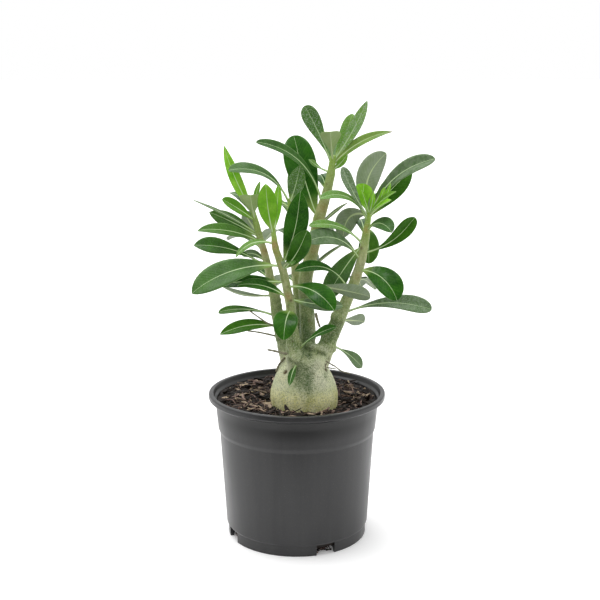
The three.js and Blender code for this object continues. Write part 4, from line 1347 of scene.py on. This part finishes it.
def leaf_form(seed, root, tip, width, bow, face, fold, shape, kind, sway=0.0):
    """One leaf: its points, where each is on the blade, its state there, and the leaf's kind."""
    own = random.Random(seed)
    wave, wave_size = own.uniform(0, 6.28), own.uniform(0.01, 0.035)
    twist = math.radians(own.uniform(-7, 7))
    chord = tip - root
    length = chord.length
    direction = chord.normalized()
    rise = (Vector((0, 0, 1)) - direction * direction.z).normalized()
    arch = rise * bow + direction.cross(rise) * sway
    lift, spread = math.sin(math.radians(1.4 * fold + 3)), math.cos(math.radians(fold))
    curl = own.uniform(-0.02, 0.035) * length
    upper, under, known, state = [], [], [], []
    for i in range(ALONG_STEPS + 1):
        t = 0.5 - 0.5 * math.cos(math.pi * i / ALONG_STEPS)
        drop = rise * (curl * max(0, t - CURL_FROM) ** 2 * CURL_RATE)
        centre = root + chord * t + arch * (4 * length * t * (1 - t)) - drop
        tangent = (chord + arch * (4 * length * (1 - 2 * t))).normalized()
        normal = Vector(face) - tangent * Vector(face).dot(tangent)
        normal.normalize()
        normal.rotate(Matrix.Rotation(twist * (t - 0.4), 3, tangent))
        side = tangent.cross(normal)
        petiole = min(PETIOLE_HALF_WIDTH, width / 2) * (1 - 0.25 * t)
        half = max(width * leaf_outline(t, shape), petiole if t < shape[0] else NARROWEST)
        stalk = max(0.0, 1 - t / PETIOLE_SHARE)
        tip_brown = 0.8 * max(0, (t - BROWN_FROM) / (1 - BROWN_FROM)) * (kind[4] > 0)
        for j in range(-OUT_STEPS, OUT_STEPS + 1):
            a = math.copysign(abs(j / OUT_STEPS) ** CROWDING, j)
            across = a * half
            fold_up = lift * half * (math.sqrt(a * a + 0.012) - 0.11)
            beat = math.sin(wave + t * RIPPLE_RATE + (OTHER_HALF if a > 0 else 0))
            ripple = wave_size * half * a * a * beat
            spot = centre + side * across * spread + normal * (fold_up + ripple)
            edge = 1 - abs(a) ** 4
            rib_high = math.exp(-(across / RIB_WIDTH) ** 2)
            skin = BLADE * (0.25 + 0.25 * edge)
            above = skin + RIB_ABOVE * rib_high + FOOT_ABOVE * stalk * edge
            below = skin + (RIB_BELOW - RIB_TAPER * t) * rib_high + FOOT_BELOW * stalk * edge
            beside = math.exp(-((abs(across) - GROOVE_OUT) / GROOVE_WIDTH) ** 2)
            groove = GROOVE_DEPTH * beside * (1 - stalk)
            upper.append((spot + normal * (above - groove * 0.4)) * MM)
            under.append((spot - normal * below) * MM)
            known.append((t * length, across, t))
            state.append((kind[3], min(1, kind[4] + tip_brown), abs(a)))
    vary = own.uniform(-0.08, 0.08)
    own_kind = (max(0, kind[0] + vary * 0.6), max(0, kind[1] + vary), kind[2])
    return upper + under, known * 2, state * 2, own_kind


def leaves_piece(name, leaves):
    """All the leaves of one stem as one mesh with its two finishes and its measures."""
    points, faces = joined([(leaf[0], LEAF_FACES) for leaf in leaves])
    piece = new_piece(name, points, faces, leaf_upper)
    piece.data.materials.append(leaf_under)
    piece.data.polygons.foreach_set("material_index", LEAF_SIDES * len(leaves))
    write_values(piece.data, "leaf_place", [row for leaf in leaves for row in leaf[1]])
    write_values(piece.data, "leaf_state", [row for leaf in leaves for row in leaf[2]])
    write_values(piece.data, "leaf_kind", [leaf[3] for leaf in leaves for _ in leaf[0]])
    piece.data.update()
    return piece


# %% Grow the leaves
ROOT_DEPTH = 0.5
TRUNK_LEAF_ROOT = Vector((-1, -24, 168))
TRUNK_LEAF = (Vector((-6.6, -44, 155)), 6.6, 0.1, FRONT_UP, 8, POINTED, GREEN)
TRUNK_LEAF_SEED = 77

for order, (name, rows) in enumerate(LEAVES.items()):
    grown = []
    for number, (height_on_stem, tip, *form) in enumerate(rows):
        x, y, z, r = at_height(STEMS[name], height_on_stem)
        out = Vector((tip[0] - x, tip[1] - y, 0)).normalized() * ROOT_DEPTH * r
        root = Vector((x, y, z)) + out
        grown.append(leaf_form(100 * order + number, root, Vector(tip), *form))
    if name == "front_left":
        grown.append(leaf_form(TRUNK_LEAF_SEED, TRUNK_LEAF_ROOT, *TRUNK_LEAF))
    piece = leaves_piece("leaves_" + name, grown)
    finished(piece, "root", "foliage", "leafy_stem_" + name)

# %% [markdown]
# ## The potting mix
#
# Potting mix for a desert rose is mostly composted bark: dark, damp crumbs with longer splinters
# lying on top, a few strands of fibre, and odd pale bits of grit.  A noise material on a smooth
# disc looks like a rug, so here the ground is a rough surface and the splinters, strands and bits
# are real shapes.  A few very dark crumbs have also washed down into the notches at the foot of
# the pot, where they also stand in as painted shade under the pot.
# All of them are in one mesh, with a tone on each point that the material turns into a colour.

# %% Mix material
MIX_COLOURS = (
    (0.0, (0.006, 0.004, 0.003)), (0.3, (0.014, 0.0085, 0.006)), (0.55, (0.048, 0.027, 0.02)),
    (0.78, (0.27, 0.175, 0.145)), (1.0, (0.62, 0.5, 0.33)),
)
mix_finish, tree, shader = new_material("bark_mix", Specular_IOR_Level=0.25)
streak = clouds(tree, 420.0)
crumb, crumb_height = specks(tree, 900.0, 0.55, 0.08)
ramp = add(tree, "ValToRGB")
stops = ramp.color_ramp.elements
for position, _ in MIX_COLOURS[1:-1]:
    stops.new(position)
for stop, (_, value) in zip(stops, MIX_COLOURS):
    stop.color = (*value, 1)
wire(tree, stored(tree, "mix_tone")["Fac"], ramp.inputs["Fac"])
colour = layered(
    tree, ramp.outputs["Color"], (streak, 0.5, (0.02, 0.013, 0.01)),
    (crumb, 0.14, (0.07, 0.046, 0.038)),
)
surfaced(tree, shader, colour, stepped(tree, streak, 0, 1, 0.55, 0.85), crumb_height, 0.7, 0.0006)
print("mix colours:", len(stops))

# %% Ground of the mix
MIX_TOP = 131.0
MIX_RELIEF = 1.6
HOLLOW_DEPTH = 8.0
HOLLOW_FADE = 12.0
HOLLOW_RADIUS = 30
GROUND_RADIUS = 74.0
GROUND_MIDDLE = 1.5
RINGS, SPOKES = 74, 230


def from_trunk(x, y):
    """How far a place on the mix is from the middle of the trunk."""
    return math.hypot(x - TRUNK_AXIS[0], y - TRUNK_AXIS[1])


def ground_height(x, y):
    """The height of the solid mix, with its hummocks and its hollow round the trunk."""
    away = max(from_trunk(x, y) - HOLLOW_RADIUS, 0)
    hollow = HOLLOW_DEPTH * math.exp(-(away / HOLLOW_FADE) ** 2)
    waves = 0.5 * math.sin(x / 7.3 + 1.3) * math.cos(y / 6.1) + 0.3 * math.sin((x + y) / 4.4)
    waves += 0.3 * math.cos((x - 1.7 * y) / 5.2 + 0.6)
    return MIX_TOP - hollow + MIX_RELIEF * waves


def crumbs(x, y):
    """How much the finer crumbs raise or lower the ground."""
    spot = Vector((x, y, 0))
    return 0.9 * noise.noise(spot / 3.4) + 0.55 * noise.noise(spot / 1.5 + Vector((9, 3, 0)))


ground_rings = []
for i in range(RINGS + 1):
    r = GROUND_MIDDLE + (GROUND_RADIUS - GROUND_MIDDLE) * i / RINGS
    ring = [Vector((r * math.cos(a), r * math.sin(a), 0)) for a in turns(SPOKES)]
    for spot in ring:
        spot.z = ground_height(spot.x, spot.y) + crumbs(spot.x, spot.y)
    ground_rings.append(ring)
side_profile = [(2, FLOOR_TOP + 0.4)] + [(r - 0.7, z) for r, z in inner_wall[:0:-1]]
side_rings = [
    [Vector((p.x * r / GROUND_RADIUS, p.y * r / GROUND_RADIUS, z)) for p in ground_rings[-1]]
    for r, z in side_profile + [(73.3, 124.0)]
]
ground_form = ring_form([[p * MM for p in ring] for ring in side_rings + ground_rings[::-1]])
ground_tone = [0.01 + 0.2 * max(0.0, noise.noise(p / 0.004) + 0.1) for p in ground_form[0]]
print("ground of the mix:", len(ground_form[0]), "points")

# %% Splinters
EDGE_CLEAR = 4.0
TRUNK_CLEAR = 31
SPLINTER_SHARES = (-1, -0.8, -0.3, 0.25, 0.75, 1)
SPLINTER_SIZES = (0.35, 0.85, 1, 0.95, 0.8, 0.3)
SPLINTER_SIDES = 5
SPLINTER_TURN = 0.3
Z_AXIS = Vector((0, 0, 1))

rng = random.Random(31)


def free_spot(edge=EDGE_CLEAR):
    """A random place on the mix, clear of the trunk and of the pot."""
    while True:
        r = (GROUND_RADIUS - edge) * math.sqrt(rng.random())
        angle = rng.uniform(0, 2 * math.pi)
        x, y = r * math.cos(angle), r * math.sin(angle)
        if from_trunk(x, y) > TRUNK_CLEAR:
            return x, y


def splinter(long, wide, thick, middle=None):
    """A split piece of bark: a bent, uneven bar that narrows at both ends."""
    heading, tilt = rng.uniform(0, math.pi), rng.gauss(0, 0.26)
    level = math.cos(tilt)
    ahead = Vector((math.cos(heading) * level, math.sin(heading) * level, math.sin(tilt)))
    roll = Matrix.Rotation(rng.uniform(-0.6, 0.6), 3, ahead)
    side = roll @ ahead.cross(Z_AXIS).normalized()
    up = side.cross(ahead)
    bend = rng.uniform(-0.12, 0.12) * long
    if middle is None:
        x, y = free_spot()
        middle = Vector((x, y, ground_height(x, y) + 0.5 + thick * 0.3))
    rings = []
    for share, full in zip(SPLINTER_SHARES, SPLINTER_SIZES):
        size = full * rng.uniform(0.85, 1.1)
        centre = middle + ahead * share * long / 2 + side * bend * (1 - share * share)
        ring = []
        for angle in turns(SPLINTER_SIDES):
            a, uneven = angle + SPLINTER_TURN, rng.uniform(0.75, 1.2)
            out = side * math.cos(a) * wide / 2 + up * math.sin(a) * thick / 2
            ring.append((centre + out * size * uneven) * MM)
        rings.append(ring)
    return ring_form(rings)


# %% Strands and bits
STRAND_STEPS = 8
STRAND_EDGE_CLEAR = 6
STRAND_ANGLES = (0.5, 2.6, 4.7)


def strand(long):
    """A thin curved root or fibre, or nothing where the trunk or the pot leaves it no room."""
    spot = Vector((*free_spot(STRAND_EDGE_CLEAR), 0))
    heading, turn = rng.uniform(0, 2 * math.pi), rng.uniform(-0.09, 0.09)
    radius, rings = rng.uniform(0.2, 0.55), []
    for i in range(STRAND_STEPS):
        heading += turn * long / STRAND_STEPS
        spot = spot + Vector((math.cos(heading), math.sin(heading), 0)) * long / STRAND_STEPS
        near_pot = math.hypot(spot.x, spot.y) > GROUND_RADIUS - 2
        if near_pot or from_trunk(spot.x, spot.y) < TRUNK_CLEAR + 0.5:
            break
        z = ground_height(spot.x, spot.y) + 1.0 + 0.8 * math.sin(i * 0.9 + heading)
        side = Vector((-math.sin(heading), math.cos(heading), 0))
        size = radius * (0.5 if i in (0, STRAND_STEPS - 1) else 1)
        rings.append(ring_of(Vector((spot.x, spot.y, z)), side, Z_AXIS, size, STRAND_ANGLES))
    return ring_form(rings) if len(rings) > 2 else None


def bit(size):
    """A small rounded lump of grit."""
    x, y = free_spot()
    middle = Vector((x, y, ground_height(x, y) + size * 0.5))
    squash = (rng.uniform(0.7, 1.2), rng.uniform(0.7, 1.2), rng.uniform(0.5, 0.9))
    seed = Vector((rng.uniform(0, 50), 0, 0))
    ball, faces = ball_form(1)
    points = []
    for p in ball:
        bumpy = 1 + 0.35 * noise.noise(p * 1.3 + seed)
        lump = Vector(p[n] * squash[n] * size * bumpy for n in range(3))
        points.append((middle + lump) * MM)
    return points, faces


# %% Strew the mix
SPLINTERS, STRANDS, BITS, NOTCH_SHADE_CRUMBS = 480, 240, 46, 70
SPLINTER_TONES = (0.0, 0.03, 0.06, 0.12, 0.3, 0.52, 0.74, 0.88)
BIT_TONES = (0.4, 0.75, 0.9, 0.97)
NOTCH_SHADE_TONES = (0.03, 0.08, 0.12, 0.2, 0.3, 0.7)

loose = []
for _ in range(SPLINTERS):
    made = splinter(rng.uniform(4, 20), rng.uniform(1.1, 4.6), rng.uniform(0.8, 2.3))
    loose.append((made, rng.choice(SPLINTER_TONES) + rng.uniform(-0.05, 0.05)))
for _ in range(STRANDS):
    made = strand(rng.uniform(8, 26))
    if made:
        loose.append((made, rng.uniform(0.55, 0.92)))
for _ in range(BITS):
    loose.append((bit(rng.uniform(0.7, 1.6)), rng.choice(BIT_TONES)))
# Very dark crumbs in the notches: partly washed-out mix, partly painted shade under the pot.
for angle in NOTCH_ANGLES:
    turn = Matrix.Rotation(angle, 3, "Z")
    for _ in range(NOTCH_SHADE_CRUMBS):
        spot = Vector((rng.uniform(-8, 8), -rng.uniform(52, 60.5), rng.uniform(1.0, 6.5)))
        crumb_size = rng.uniform(1.5, 4), rng.uniform(1, 2.6), rng.uniform(0.8, 1.8)
        loose.append((splinter(*crumb_size, turn @ spot), rng.choice(NOTCH_SHADE_TONES)))
print("splinters, strands and bits:", len(loose))

# %% Join the mix
CRUMB_EDGE = math.radians(50)

mix_tones = list(ground_tone)
for (points, _), tone in loose:
    mix_tones += [tone + rng.uniform(-0.05, 0.05) for _ in points]
mix_forms = joined([ground_form] + [form for form, _ in loose])
mix = new_piece("potting_mix_rough", *mix_forms, mix_finish)
write_values(mix.data, "mix_tone", np.clip(np.array(mix_tones, dtype=np.float32), 0, 1))
mix.data.set_sharp_from_angle(angle=CRUMB_EDGE)
finished(mix, "root", "bark_mix", "potting_mix")
